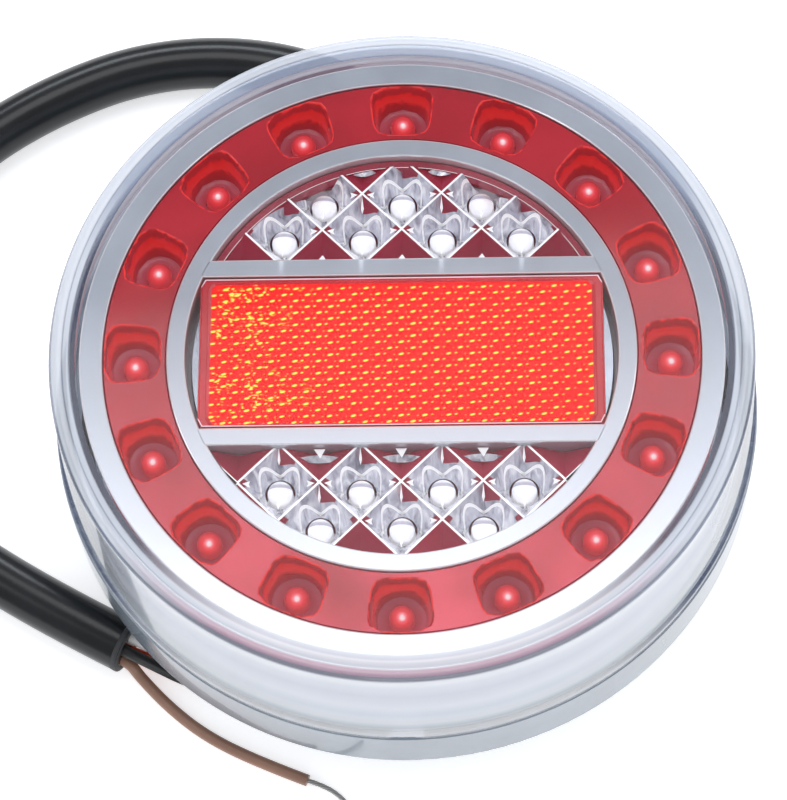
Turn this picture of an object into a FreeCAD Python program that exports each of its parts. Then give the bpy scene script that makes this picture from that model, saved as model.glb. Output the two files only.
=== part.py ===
import FreeCAD, Part
import Sketcher
import math
import os
import re

# Round trailer tail lamp with a red LED ring, two clear LED windows, a red reflex
# reflector across the middle and a free cable lead.
# Frame: millimetres, +Z is the lamp's optical axis with its face upwards, +Y is the top of
# the mounted lamp and the origin is on its axis at the tips of the mounting studs.

doc = FreeCAD.newDocument("TailLamp")
sheet = doc.addObject("Spreadsheet::Sheet", "Sizes")

sizes = {
    # heights
    "BaseHeight": 14.5,         # grey band of the housing
    "LensHeight": 29.5,         # clear skirt and face
    "RecessDepth": 16.0,        # hollow in the back for the cable
    "PlateThick": 2.5,
    "FootThick": 2.5,
    "BoardThick": 1.6,
    # small pieces on the board
    "ResistorLength": 3.2,
    "ResistorWidth": 1.6,
    "ResistorHeight": 0.6,
    "DiodeLength": 4.3,
    "DiodeWidth": 2.6,
    "DiodeHeight": 2.3,
    "ChipLength": 5.0,
    "ChipWidth": 4.0,
    "ChipHeight": 1.6,
    "CanRadius": 3.15,
    "CanHeight": 4.6,
    # housing and clear lens, from the outside in
    "BaseRadius": 70.0,
    "FlangeStep": 0.2,          # clear flange inside the housing's edge
    "SkirtTaper": 2.0,          # skirt's top edge inside the housing's edge
    "FootWidth": 9.5,
    "FootRound": 1.6,
    "RecessWall": 2.3,
    "LensWall": 3.2,
    "LensFace": 2.2,
    "LensRound": 2.4,
    "BeadHeight": 2.2,          # bead round the lens skirt's lower edge
    "BeadStep": 0.7,
    "NotchWidth": 6.0,
    "NotchHeight": 0.9,
    "NotchDepth": 1.2,
    "LipHeight": 3.5,
    "LipThick": 1.8,
    "FitGap": 0.3,
    "SealWidth": 1.0,
    "SealDepth": 0.7,
    "SealInset": 2.6,
    # face pieces, from the rim inwards
    "FaceGap": 0.3,             # clear lens to the silver frames
    "RimBorder": 5.7,           # skirt's top edge to the silver ring
    "BezelWidth": 4.5,
    "BezelThick": 1.2,
    "RedWidth": 12.4,
    "RingWidth": 3.6,           # inner silver ring
    "FrameWall": 1.2,
    "FrameDepth": 8.2,
    "BarInner": 15.9,
    "BarOuter": 19.5,
    "RedThick": 2.0,
    "RedRise": 0.9,             # red band above its shoulders
    "RedSkirtWall": 1.8,
    "RedSkirtDepth": 7.0,
    "CupLength": 10.6,          # pockets over the ring's lights
    "CupWidth": 11.6,
    "CupDepth": 1.6,
    "ReflectorEnd": 2.7,        # reflector's short side to the silver ring
    "ReflectorHalfHeight": 15.6,
    "ReflectorThick": 3.8,
    "PrismMargin": 2.2,
    "PrismDepth": 0.8,
    "BackingThick": 2.1,
    "BackingMargin": 0.9,
    "TrayThick": 1.8,
    "TrayWall": 1.4,
    "OpticThick": 2.4,
    "OpticDrop": 1.0,           # optic's face below the frame's face
    "OpticWall": 1.3,
    "SocketGap": 0.6,           # light to its socket in the optic
    "SocketWall": 1.8,
    "BaffleStep": 0.6,          # baffle inside the silver ring's bore
    "BaffleThick": 3.4,
    "BaffleHeight": 5.7,        # board to the silver frame
    "BaffleClear": 1.0,         # baffle to the lights' lips
    "CarrierWall": 2.4,
    # lights and board
    "BoardGap": 1.1,
    "LedInset": 6.6,            # circle of lights outside the red band's inner edge
    "LedCount": 16,
    "LedRadius": 2.5,
    "LedHeight": 8.6,
    "LedLip": 0.4,
    "LedLipThick": 1.0,
    "WindowPitch": 15.6,
    "RowNear": 26.6,
    "RowStep": 7.8,
    "ScrewAcross": 33.0,
    "ScrewUp": 9.5,
    "ScrewRadius": 1.2,
    "ScrewHeadRadius": 2.6,
    "ScrewHeadThick": 1.5,
    "ScrewTipGap": 1.5,         # screw tip to the back plate
    "PostRadius": 3.0,
    # mounting and cable entry
    "StudCircle": 46.0,         # radius of the stud circle
    "StudCount": 3,
    "StudRadius": 2.5,
    "StudShank": 3.0,           # radius of the part moulded into the boss
    "StudHeadRadius": 4.5,
    "StudHeadThick": 3.0,
    "BossRadius": 7.0,
    "CableRadius": 5.5,
    "CableClear": 1.0,          # cable on the ground to the rim above it
    "JacketBore": 3.9,
    "JacketHollow": 3.0,        # depth from which the cores leave the cut end
    "CableAcross": 19.0,
    "CableUp": 10.0,
    "GrommetWall": 2.9,
    "GrommetLip": 2.2,
    "GrommetThick": 2.5,
    "ResinWidth": 3.9,
    "ResinHeight": 3.0,
    "CoreRadius": 1.2,
    "WireRadius": 0.5,
    "CoreRing": 2.6,            # circle of the five cores in the jacket
    "VentAcross": -20.0,
    "VentUp": -6.0,
    "VentRadius": 1.5,
    "VentPatch": 5.0,
    "VentThick": 0.6,
}

for row, (alias, value) in enumerate(sizes.items(), start=1):
    sheet.set(f"A{row}", alias)
    sheet.set(f"B{row}", str(value))
    sheet.setAlias(f"B{row}", alias)
doc.recompute()

rimHeight = 2 * sizes["CableRadius"] + sizes["CableClear"]

# heights and radii that several pieces share; the studs lift the rim clear of the cable
rimLevel = "(2 * CableRadius + CableClear)"
seatLevel = f"({rimLevel} + BaseHeight)"
lensTop = f"({seatLevel} + LensHeight)"
plateLow = f"({rimLevel} + RecessDepth)"
plateTop = f"({plateLow} + PlateThick)"
frameTop = f"({lensTop} - LensFace - FaceGap)"
frameLow = f"({frameTop} - FrameDepth)"
boardTop = f"({frameLow} - BaffleHeight)"
boardLow = f"({boardTop} - BoardThick)"
screwTip = f"({plateTop} + ScrewTipGap)"
shoulder = f"({frameTop} - BezelThick)"
redTop = f"({shoulder} + RedRise)"
recessRadius = "(BaseRadius - FootWidth)"
flangeRadius = "(BaseRadius - FlangeStep)"
rimRadius = "(BaseRadius - SkirtTaper)"
lipOuter = f"({flangeRadius} - LensWall - FitGap)"
bezelOuter = f"({rimRadius} - RimBorder)"
redOuter = f"({bezelOuter} - BezelWidth)"
redInner = f"({redOuter} - RedWidth)"
frameInner = f"({redInner} - RingWidth)"
carrierOuter = f"({bezelOuter} - FitGap)"
baffleInner = f"({frameInner} - BaffleStep)"
ledCircle = f"({redInner} + LedInset)"
ledFlange = "(LedRadius + LedLip)"
sealRadius = "(BaseRadius - SealInset)"


def bound(text):
    """Turn the names of sizes in a formula into references to the sheet."""
    def named(word):
        return "Sizes." + word.group() if word.group() in sizes else word.group()

    return re.sub(r"[A-Za-z]\w*", named, text)


def bind(thing, **formulas):
    for name, text in formulas.items():
        thing.setExpression(name.replace("__", "."), bound(text))
    return thing


# ---- PartDesign bodies and sketches


def new_body(label):
    body = doc.addObject("PartDesign::Body", label)
    body.Label = label
    body.AllowCompound = True
    return body


def origin_feature(body, role):
    return next(item for item in body.Origin.OriginFeatures if item.Role == role)


def new_sketch(body, plane, lift="0"):
    sketch = body.newObject("Sketcher::SketchObject", body.Name + "_sketch")
    sketch.AttachmentSupport = [(origin_feature(body, plane), "")]
    sketch.MapMode = "FlatFace"
    if lift != "0":
        bind(sketch, AttachmentOffset__Base__z=lift)
    return sketch


def place_point(sketch, curve, end, across, up):
    """Tie one point of a sketch to its distances from the sketch's origin."""
    for kind, axis, text in (("DistanceX", -2, across), ("DistanceY", -1, up)):
        if text == "0":
            sketch.addConstraint(Sketcher.Constraint("PointOnObject", curve, end, axis))
        else:
            number = sketch.addConstraint(Sketcher.Constraint(kind, -1, 1, curve, end, 1.0))
            sketch.setExpression(f"Constraints[{number}]", bound(text))


def draw_outline(sketch, points):
    """A closed outline of straight sides through points given as formulas."""
    count = len(points)
    turns = [math.tau * k / count for k in range(count)]
    start = [FreeCAD.Vector(math.cos(turn), math.sin(turn), 0) for turn in turns]
    for k in range(count):
        sketch.addGeometry(Part.LineSegment(start[k], start[(k + 1) % count]), False)
    for k in range(count):
        sketch.addConstraint(Sketcher.Constraint("Coincident", k, 2, (k + 1) % count, 1))
    for k, (across, up) in enumerate(points):
        place_point(sketch, k, 1, across, up)


def draw_circle(sketch, radius, across="0", up="0"):
    number = sketch.addGeometry(Part.Circle(FreeCAD.Vector(1, 1, 0), FreeCAD.Vector(0, 0, 1), 1), False)
    place_point(sketch, number, 3, across, up)
    size = sketch.addConstraint(Sketcher.Constraint("Radius", number, 1.0))
    sketch.setExpression(f"Constraints[{size}]", bound(radius))


def revolve(body, points):
    """Turn an outline of (radius, height) points about the lamp's axis."""
    sketch = new_sketch(body, "XZ_Plane")
    draw_outline(sketch, points)
    turn = body.newObject("PartDesign::Revolution", body.Name + "_turn")
    turn.Profile = sketch
    turn.ReferenceAxis = (sketch, ["V_Axis"])
    turn.Angle = 360
    return turn


def pad(body, sketch, height, down=False):
    feature = body.newObject("PartDesign::Pad", body.Name + "_pad")
    feature.Profile = sketch
    feature.Reversed = down
    return bind(feature, Length=height)


def pocket(body, sketch, depth, up=False):
    feature = body.newObject("PartDesign::Pocket", body.Name + "_pocket")
    feature.Profile = sketch
    feature.Reversed = up
    return bind(feature, Length=depth)


def repeat_round(body, features, count):
    """Repeat features round the lamp's axis."""
    pattern = body.newObject("PartDesign::PolarPattern", body.Name + "_round")
    pattern.Originals = features
    pattern.Axis = (origin_feature(body, "Z_Axis"), [""])
    pattern.Angle = 360
    bind(pattern, Occurrences=count)
    body.Tip = pattern
    return pattern


def round_edge(body, base, radius, height, amount):
    """Round the circular edge of this radius at this height, both as numbers of the sheet."""
    doc.recompute()
    names = []
    for number, edge in enumerate(base.Shape.Edges, start=1):
        box = edge.BoundBox
        if box.ZLength < 1e-6 and abs(box.ZMin - height) < 1e-4 and abs(box.XMax - radius) < 1e-4:
            names.append(f"Edge{number}")
    fillet = body.newObject("PartDesign::Fillet", body.Name + "_round_edge")
    fillet.Base = (base, names)
    bind(fillet, Radius=amount)
    body.Tip = fillet
    return fillet


# ---- Part primitives and booleans


def cylinder(name, radius, low, height, across="0", up="0"):
    made = doc.addObject("Part::Cylinder", name)
    return bind(made, Radius=radius, Height=height, Placement__Base__x=across, Placement__Base__y=up,
                Placement__Base__z=low)


def block(name, x, y, low, length, width, height):
    made = doc.addObject("Part::Box", name)
    return bind(made, Length=length, Width=width, Height=height, Placement__Base__x=x, Placement__Base__y=y,
                Placement__Base__z=low)


def cut(name, base, tool):
    made = doc.addObject("Part::Cut", name)
    made.Base = base
    made.Tool = tool
    return made


def join(name, pieces):
    made = doc.addObject("Part::MultiFuse", name)
    made.Shapes = pieces
    return made


def shared(name, pieces):
    made = doc.addObject("Part::MultiCommon", name)
    made.Shapes = pieces
    return made


def group(label, pieces):
    """Separate solids of one kind, kept together in one sub-part."""
    made = doc.addObject("Part::Compound", label)
    made.Links = pieces
    made.Label = label
    return made


def tube(name, outer, inner, low, height, across="0", up="0"):
    return cut(name, cylinder(name + "_outside", outer, low, height, across, up),
               cylinder(name + "_inside", inner, low, height, across, up))


def bar_across(name, half_length, inner, outer, low, height, side):
    """A bar along X between two distances from the lamp's centre line, on side 1 (top) or -1."""
    near = inner if side > 0 else f"-({outer})"
    return block(name, f"-({half_length})", near, low, f"2 * ({half_length})", f"({outer}) - ({inner})", height)


# ---- outer shell


def rear_housing():
    body = new_body("rear_housing")
    channelOuter = f"({lipOuter} - LipThick)"
    wallOuter = f"({recessRadius} + RecessWall)"
    shell = revolve(body, [
        ("0", plateLow), (recessRadius, plateLow), (recessRadius, rimLevel), ("BaseRadius", rimLevel),
        ("BaseRadius", seatLevel), (lipOuter, seatLevel), (lipOuter, f"{seatLevel} + LipHeight"),
        (channelOuter, f"{seatLevel} + LipHeight"), (channelOuter, f"{rimLevel} + FootThick"),
        (wallOuter, f"{rimLevel} + FootThick"), (wallOuter, plateTop), ("0", plateTop),
    ])
    round_edge(body, shell, sizes["BaseRadius"], rimHeight, "FootRound")

    groove = new_sketch(body, "XY_Plane", seatLevel)
    draw_circle(groove, sealRadius)
    draw_circle(groove, f"{sealRadius} + SealWidth")
    pocket(body, groove, "SealDepth")

    bosses = new_sketch(body, "XY_Plane", plateLow)
    draw_circle(bosses, "BossRadius", "0", "StudCircle")
    boss = pad(body, bosses, "RecessDepth", down=True)
    repeat_round(body, [boss], "StudCount")

    posts = new_sketch(body, "XY_Plane", plateTop)
    pilots = new_sketch(body, "XY_Plane", boardLow)
    for across in ("ScrewAcross", "-ScrewAcross"):
        for up in ("ScrewUp", "-ScrewUp"):
            draw_circle(posts, "PostRadius", across, up)
            draw_circle(pilots, "ScrewRadius", across, up)
    pad(body, posts, f"{boardLow} - {plateTop}")
    pocket(body, pilots, f"{boardLow} - {screwTip}")

    studs = new_sketch(body, "XY_Plane", plateTop)
    draw_circle(studs, "StudShank", "0", "StudCircle")
    hole = pocket(body, studs, "PlateThick + RecessDepth")
    repeat_round(body, [hole], "StudCount")

    openings = new_sketch(body, "XY_Plane", plateTop)
    draw_circle(openings, "CableRadius + GrommetWall", "CableAcross", "CableUp")
    draw_circle(openings, "VentRadius", "VentAcross", "VentUp")
    pocket(body, openings, "PlateThick")
    return body


def clear_outer_lens():
    body = new_body("clear_outer_lens")
    innerLow = f"({flangeRadius} - LensWall)"
    innerTop = f"({rimRadius} - LensWall)"
    beadTop = f"({seatLevel} + BeadHeight)"
    shell = revolve(body, [
        ("0", lensTop), (rimRadius, lensTop), (f"{flangeRadius} - BeadStep", f"{beadTop} + BeadStep"),
        (flangeRadius, beadTop), (flangeRadius, seatLevel), (innerLow, seatLevel),
        (innerLow, f"{seatLevel} + LipHeight + FitGap"), (innerTop, f"{lensTop} - LensFace"),
        ("0", f"{lensTop} - LensFace"),
    ])
    top = rimHeight + sizes["BaseHeight"] + sizes["LensHeight"]
    round_edge(body, shell, sizes["BaseRadius"] - sizes["SkirtTaper"], top, "LensRound")
    notch = new_sketch(body, "XY_Plane", seatLevel)
    edge = f"-{flangeRadius}"
    draw_outline(notch, [
        ("-NotchWidth / 2", f"{edge} - 1"), ("NotchWidth / 2", f"{edge} - 1"),
        ("NotchWidth / 2", f"{edge} + NotchDepth"), ("-NotchWidth / 2", f"{edge} + NotchDepth"),
    ])
    pocket(body, notch, "NotchHeight", up=True)
    return body


def lens_seal():
    made = tube("lens_seal", f"{sealRadius} + SealWidth", sealRadius, f"{seatLevel} - SealDepth", "SealDepth")
    made.Label = "lens_seal"
    return made


# ---- face pieces under the clear lens


def outer_bezel():
    body = new_body("outer_bezel")
    sketch = new_sketch(body, "XY_Plane", shoulder)
    draw_circle(sketch, bezelOuter)
    draw_circle(sketch, redOuter)
    pad(body, sketch, "BezelThick")
    return body


def inner_frame():
    """Silver ring and cross bars, with a thin wall below the ring."""
    low = frameLow
    wall = tube("frame_wall", f"{frameInner} + FrameWall", frameInner, low, "FrameDepth - BezelThick")
    flange = tube("frame_flange", redInner, frameInner, shoulder, "BezelThick")
    pieces = [wall, flange]
    for side in (1, -1):
        bar = bar_across(f"frame_bar{side + 1}", frameInner, "BarInner", "BarOuter", low, "FrameDepth", side)
        limit = cylinder(f"frame_limit{side + 1}", f"{frameInner} + FrameWall / 2", low, "FrameDepth")
        pieces.append(shared(f"frame_fitted{side + 1}", [bar, limit]))
    made = join("inner_frame", pieces)
    made.Label = "inner_frame"
    return made


def red_ring_lens():
    """Red band with a shoulder under each silver ring, a short skirt and a pocket over each light."""
    body = new_body("red_ring_lens")
    under = f"({shoulder} - RedThick)"
    inner = f"({frameInner} + FrameWall + FitGap)"
    bandInner = f"({redInner} + FitGap)"
    bandOuter = f"({redOuter} - FitGap)"
    low = f"({shoulder} - RedSkirtDepth)"
    revolve(body, [
        (inner, under), (inner, shoulder), (bandInner, shoulder), (bandInner, redTop), (bandOuter, redTop),
        (bandOuter, shoulder), (carrierOuter, shoulder), (carrierOuter, low),
        (f"{carrierOuter} - RedSkirtWall", low), (f"{carrierOuter} - RedSkirtWall", under),
    ])
    cups = new_sketch(body, "XY_Plane", under)
    inside = f"{ledCircle} - CupLength / 2"
    outside = f"{ledCircle} + CupLength / 2"
    draw_outline(cups, [
        (inside, "-CupWidth / 2"), (outside, "-CupWidth / 2"), (outside, "CupWidth / 2"), (inside, "CupWidth / 2"),
    ])
    cup = pocket(body, cups, "CupDepth", up=True)
    repeat_round(body, [cup], "LedCount")
    return body


def carrier_ring():
    """Pale wall on the back plate that carries the red lens."""
    made = tube("carrier_ring", carrierOuter, f"{carrierOuter} - CarrierWall", plateTop,
                f"{shoulder} - RedSkirtDepth - {plateTop}")
    made.Label = "carrier_ring"
    return made


def light_baffle():
    """Wall with cross bars between the board and the silver frame, scalloped round the window lights."""
    outer = f"{baffleInner} + BaffleThick"
    pieces = [tube("baffle_ring", outer, baffleInner, boardTop, "BaffleHeight")]
    clear = []
    for side in (1, -1):
        bar = bar_across(f"baffle_bar{side + 1}", baffleInner, "BarInner", "BarOuter", boardTop, "BaffleHeight", side)
        limit = cylinder(f"baffle_limit{side + 1}", f"{baffleInner} + BaffleThick / 2", boardTop, "BaffleHeight")
        pieces.append(shared(f"baffle_fitted{side + 1}", [bar, limit]))
        for number, (across, up) in enumerate(window_lights(side)):
            clear.append(cylinder(f"baffle_clear{side + 1}_{number}", f"{ledFlange} + BaffleClear", boardTop,
                                  "BaffleHeight", across, up))
    made = cut("light_baffle", join("baffle_solid", pieces), join("baffle_all_clear", clear))
    made.Label = "light_baffle"
    return made


def window_optic(label, side):
    """Clear plate of one window, with a rim that stands on the baffle and a socket round each light."""
    radius = f"({frameInner} - FitGap)"
    socket = "LedRadius + SocketGap"
    straight = "BarOuter + FitGap"
    top = f"({frameTop} - OpticDrop)"
    low = frameLow
    depth = f"({top} - {low})"

    def segment(name, reach, edge, bottom, height):
        width = f"({reach}) - ({edge})"
        near = edge if side > 0 else f"-({reach})"
        wide = block(name + "_wide", f"-({reach})", near, bottom, f"2 * ({reach})", width, height)
        return shared(name, [wide, cylinder(name + "_round", reach, bottom, height)])

    outside = segment(label + "_outside", radius, straight, low, depth)
    inside = segment(label + "_inside", f"{radius} - OpticWall", f"{straight} + OpticWall", low,
                     f"{depth} - OpticThick")
    sockets = []
    bores = []
    for number, (across, up) in enumerate(window_lights(side)):
        sockets.append(cylinder(f"{label}_socket{number}", f"{socket} + SocketWall", low, depth, across, up))
        bores.append(cylinder(f"{label}_bore{number}", socket, low, f"{depth} - OpticThick", across, up))
    limit = segment(label + "_limit", radius, straight, low, depth)
    fitted = shared(label + "_sockets", [join(label + "_all_sockets", sockets), limit])
    plate = join(label + "_plate", [cut(label + "_shell", outside, inside), fitted])
    made = cut(label, plate, join(label + "_bores", bores))
    made.Label = label
    return made


def window_lights(side):
    """Places of a window's seven lights: four in the row near the middle, three beyond."""
    sign = "" if side > 0 else "-"
    near = [(f"{step} * WindowPitch", f"{sign}RowNear") for step in (-1.5, -0.5, 0.5, 1.5)]
    far = [(f"{step} * WindowPitch", f"{sign}(RowNear + RowStep)") for step in (-1, 0, 1)]
    return near + far


def middle_block(name, half_length, half_height, low, height, limit):
    """A plate across the middle whose corners are cut by the frame's ring."""
    wide = block(name + "_wide", f"-({half_length})", f"-({half_height})", low, f"2 * ({half_length})",
                 f"2 * ({half_height})", height)
    return shared(name, [wide, cylinder(name + "_round", limit, low, height)])


def reflex_reflector():
    low = f"({redTop} - ReflectorThick)"
    solid = middle_block("reflector_block", f"{frameInner} - ReflectorEnd", "ReflectorHalfHeight", low,
                         "ReflectorThick", f"{frameInner} - FitGap")
    field = middle_block("reflector_field", f"{frameInner} - ReflectorEnd - PrismMargin",
                         "ReflectorHalfHeight - PrismMargin", low, "PrismDepth",
                         f"{frameInner} - FitGap - PrismMargin")
    made = cut("reflex_reflector", solid, field)
    made.Label = "reflex_reflector"
    return made


def reflector_backing():
    low = f"({redTop} - ReflectorThick - BackingThick)"
    made = middle_block("reflector_backing", f"{frameInner} - ReflectorEnd - BackingMargin",
                        "ReflectorHalfHeight - BackingMargin", low, "BackingThick",
                        f"{frameInner} - FitGap - BackingMargin")
    made.Label = "reflector_backing"
    return made


def reflector_tray():
    """Bright tray that holds the reflector and shows as a crescent at each end of it."""
    depth = f"({redTop} - ReflectorThick - BackingThick - {boardTop})"
    reach = f"{baffleInner} - FitGap"
    outside = middle_block("tray_outside", reach, "ReflectorHalfHeight", boardTop, depth, reach)
    inside = middle_block("tray_inside", f"{reach} - TrayWall", "ReflectorHalfHeight - TrayWall", boardTop,
                          f"{depth} - TrayThick", f"{reach} - TrayWall")
    made = cut("reflector_tray", outside, inside)
    made.Label = "reflector_tray"
    return made


# ---- board and lights


def led_board():
    body = new_body("led_board")
    sketch = new_sketch(body, "XY_Plane", boardLow)
    draw_circle(sketch, f"{carrierOuter} - CarrierWall - BoardGap")
    pad(body, sketch, "BoardThick")
    holes = new_sketch(body, "XY_Plane", boardTop)
    for across in ("ScrewAcross", "-ScrewAcross"):
        for up in ("ScrewUp", "-ScrewUp"):
            draw_circle(holes, "ScrewRadius + FitGap", across, up)
    for across, up in lead_places():
        draw_circle(holes, "WireRadius", across, up)
    pocket(body, holes, "BoardThick")
    return body


def led_outline(across):
    """Half outline of a domed light on the board, as (across, height) points from its axis."""
    dome = f"({boardTop} + LedHeight)"
    lip = f"({boardTop} + LedLipThick)"
    return [
        (across, boardTop), (f"{across} + {ledFlange}", boardTop), (f"{across} + {ledFlange}", lip),
        (f"{across} + LedRadius", lip), (f"{across} + LedRadius", f"{dome} - LedRadius"),
        (f"{across} + LedRadius * 0.866", f"{dome} - LedRadius * 0.5"),
        (f"{across} + LedRadius * 0.5", f"{dome} - LedRadius * 0.134"), (across, dome),
    ]


def ring_lights():
    body = new_body("ring_lights")
    sketch = new_sketch(body, "XZ_Plane")
    outline = led_outline(ledCircle)
    draw_outline(sketch, outline)
    light = body.newObject("PartDesign::Revolution", "ring_light")
    light.Profile = sketch
    light.ReferenceAxis = (sketch, [f"Edge{len(outline)}"])
    light.Angle = 360
    repeat_round(body, [light], "LedCount")
    return body


def window_lights_group(label, side):
    pieces = []
    for number, (across, up) in enumerate(window_lights(side)):
        name = f"{label}{number}"
        flange = cylinder(name + "_flange", ledFlange, boardTop, "LedLipThick", across, up)
        stem = cylinder(name + "_stem", "LedRadius", boardTop, "LedHeight - LedRadius", across, up)
        dome = doc.addObject("Part::Sphere", name + "_dome")
        bind(dome, Radius="LedRadius", Placement__Base__x=across, Placement__Base__y=up,
             Placement__Base__z=f"{boardTop} + LedHeight - LedRadius")
        pieces.append(join(name, [flange, stem, dome]))
    return group(label, pieces)


# where the board's small pieces stand: (first x, step, count, y)
resistorRows = [(-13.0, 5.2, 6, 9.5), (-13.0, 5.2, 6, -9.5)]
diodeRows = [(-15.0, 7.0, 3, 4.5)]
chipRows = [(-12.0, 10.0, 3, -3.0)]
capacitorPlaces = [(-24.0, 5.0), (-24.0, -4.0)]


def grid_of_blocks(label, rows, kind):
    """Small surface-mounted pieces of one kind, whose sizes in the sheet start with its name."""
    length, width, height = kind + "Length", kind + "Width", kind + "Height"
    pieces = []
    for first, step, count, up in rows:
        for k in range(count):
            left = f"{first + k * step} - {length} / 2"
            name = f"{label}{len(pieces)}"
            pieces.append(block(name, left, f"{up} - {width} / 2", boardTop, length, width, height))
    return group(label, pieces)


def smoothing_capacitors():
    pieces = []
    for number, (across, up) in enumerate(capacitorPlaces):
        pieces.append(cylinder(f"capacitor{number}", "CanRadius", boardTop, "CanHeight", str(across), str(up)))
    return group("smoothing_capacitors", pieces)


def board_screws():
    pieces = []
    for k, (across, up) in enumerate((a, b) for a in ("ScrewAcross", "-ScrewAcross") for b in ("ScrewUp", "-ScrewUp")):
        shank = cylinder(f"screw_shank{k}", "ScrewRadius", screwTip, f"{boardTop} - {screwTip}", across, up)
        head = cylinder(f"screw_head{k}", "ScrewHeadRadius", boardTop, "ScrewHeadThick", across, up)
        pieces.append(join(f"screw{k}", [shank, head]))
    return group("board_screws", pieces)


# ---- mounting, cable entry and inner wiring


def mounting_studs():
    body = new_body("mounting_studs")
    outline = new_sketch(body, "XY_Plane")
    draw_circle(outline, "StudRadius", "0", "StudCircle")
    thread = pad(body, outline, rimLevel)
    moulded = new_sketch(body, "XY_Plane", rimLevel)
    draw_circle(moulded, "StudShank", "0", "StudCircle")
    shank = pad(body, moulded, "RecessDepth + PlateThick")
    heads = new_sketch(body, "XY_Plane", plateTop)
    draw_circle(heads, "StudHeadRadius", "0", "StudCircle")
    head = pad(body, heads, "StudHeadThick")
    repeat_round(body, [thread, shank, head], "StudCount")
    return body


def cable_grommet():
    flange = cylinder("grommet_flange", "CableRadius + GrommetWall + GrommetLip", f"{plateLow} - GrommetThick",
                      "GrommetThick", "CableAcross", "CableUp")
    neck = cylinder("grommet_neck", "CableRadius + GrommetWall", plateLow, "PlateThick", "CableAcross", "CableUp")
    bore = cylinder("grommet_bore", "CableRadius", f"{plateLow} - GrommetThick", "GrommetThick + PlateThick",
                    "CableAcross", "CableUp")
    made = cut("cable_grommet", join("grommet_solid", [flange, neck]), bore)
    made.Label = "cable_grommet"
    return made


def sealing_resin():
    made = tube("sealing_resin", "CableRadius + ResinWidth", "CableRadius", plateTop, "ResinHeight", "CableAcross",
                "CableUp")
    made.Label = "sealing_resin"
    return made


def vent_membrane():
    made = cylinder("vent_membrane", "VentPatch", f"{plateLow} - VentThick", "VentThick", "VentAcross", "VentUp")
    made.Label = "vent_membrane"
    return made


def lead_places():
    """Where the five cores rise from the cable to the board."""
    return [(f"CableAcross + CoreRing * {math.cos(math.tau * k / 5):.5f}",
             f"CableUp + CoreRing * {math.sin(math.tau * k / 5):.5f}") for k in range(5)]


def board_leads():
    low = f"({plateTop} + ResinHeight)"
    pieces = []
    for k, (across, up) in enumerate(lead_places()):
        sleeve = cylinder(f"lead_sleeve{k}", "CoreRadius", low, f"{boardLow} - {low}", across, up)
        wire = cylinder(f"lead_wire{k}", "WireRadius", low, f"{boardTop} - {low}", across, up)
        pieces.append(join(f"lead{k}", [sleeve, wire]))
    return group("board_leads", pieces)


def lead_solder():
    pieces = []
    for k, (across, up) in enumerate(lead_places()):
        bead = doc.addObject("Part::Cone", f"solder{k}")
        bind(bead, Radius1="CoreRadius", Radius2="WireRadius", Height="1", Placement__Base__x=across,
             Placement__Base__y=up, Placement__Base__z=boardTop)
        pieces.append(bead)
    return group("lead_solder", pieces)


# ---- free cable, cores and bare wire ends


def tangent_path(points, name):
    """Straight runs joined by tangent arcs, each as large as its two runs allow."""
    corners = [FreeCAD.Vector(*point) for point in points]
    edges = []
    radii = []
    here = corners[0]
    for before, corner, after in zip(corners, corners[1:], corners[2:]):
        back = before - corner
        ahead = after - corner
        trim = 0.45 * min(back.Length, ahead.Length)
        back.normalize()
        ahead.normalize()
        half_turn = (math.pi - back.getAngle(ahead)) / 2
        radius = trim / math.tan(half_turn)
        start = corner + back * trim
        end = corner + ahead * trim
        inward = (back + ahead).normalize()
        middle = corner + inward * (radius / math.cos(half_turn) - radius)
        edges.append(Part.LineSegment(here, start).toShape())
        edges.append(Part.Arc(start, middle, end).toShape())
        radii.append(radius)
        here = end
    edges.append(Part.LineSegment(here, corners[-1]).toShape())
    print(name, "bend radii", [round(value, 1) for value in radii])
    return Part.Wire(edges)


def free_cord(label, points, radius):
    path = tangent_path(points, label)
    start = FreeCAD.Vector(*points[0])
    direction = FreeCAD.Vector(*points[1]) - start
    section = Part.Wire(Part.Circle(start, direction, radius).toShape())
    solid = path.makePipeShell([section], True, False)
    expected = math.pi * radius ** 2 * path.Length
    print(label, "length", round(path.Length, 1), "volume share", round(solid.Volume / expected, 4))
    made = doc.addObject("Part::Feature", label)
    made.Shape = solid
    made.Placement = FreeCAD.Placement()
    made.Label = label
    return made


jacketRest = sizes["CableRadius"] + 0.1         # height of the cable's axis on the ground
coreRest = sizes["CoreRadius"]
wireRest = sizes["WireRadius"]
cableX = sizes["CableAcross"]
cableY = sizes["CableUp"]
resinTop = rimHeight + sizes["RecessDepth"] + sizes["PlateThick"] + sizes["ResinHeight"]

jacketRoute = [
    (cableX, cableY, resinTop), (cableX, cableY, jacketRest), (cableX, cableY + 27, jacketRest),
    (10.2, 61.5, jacketRest), (-7.8, 80.4, jacketRest), (-31, 89.6, jacketRest), (-56.5, 89.3, jacketRest),
    (-79.5, 79.6, jacketRest), (-97.8, 66.0, jacketRest), (-111.3, 43.5, jacketRest), (-114.6, 17.4, jacketRest),
    (-106.5, -7.5, jacketRest), (-89.0, -26.4, jacketRest), (-58.6, -42.1, jacketRest),
]

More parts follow.
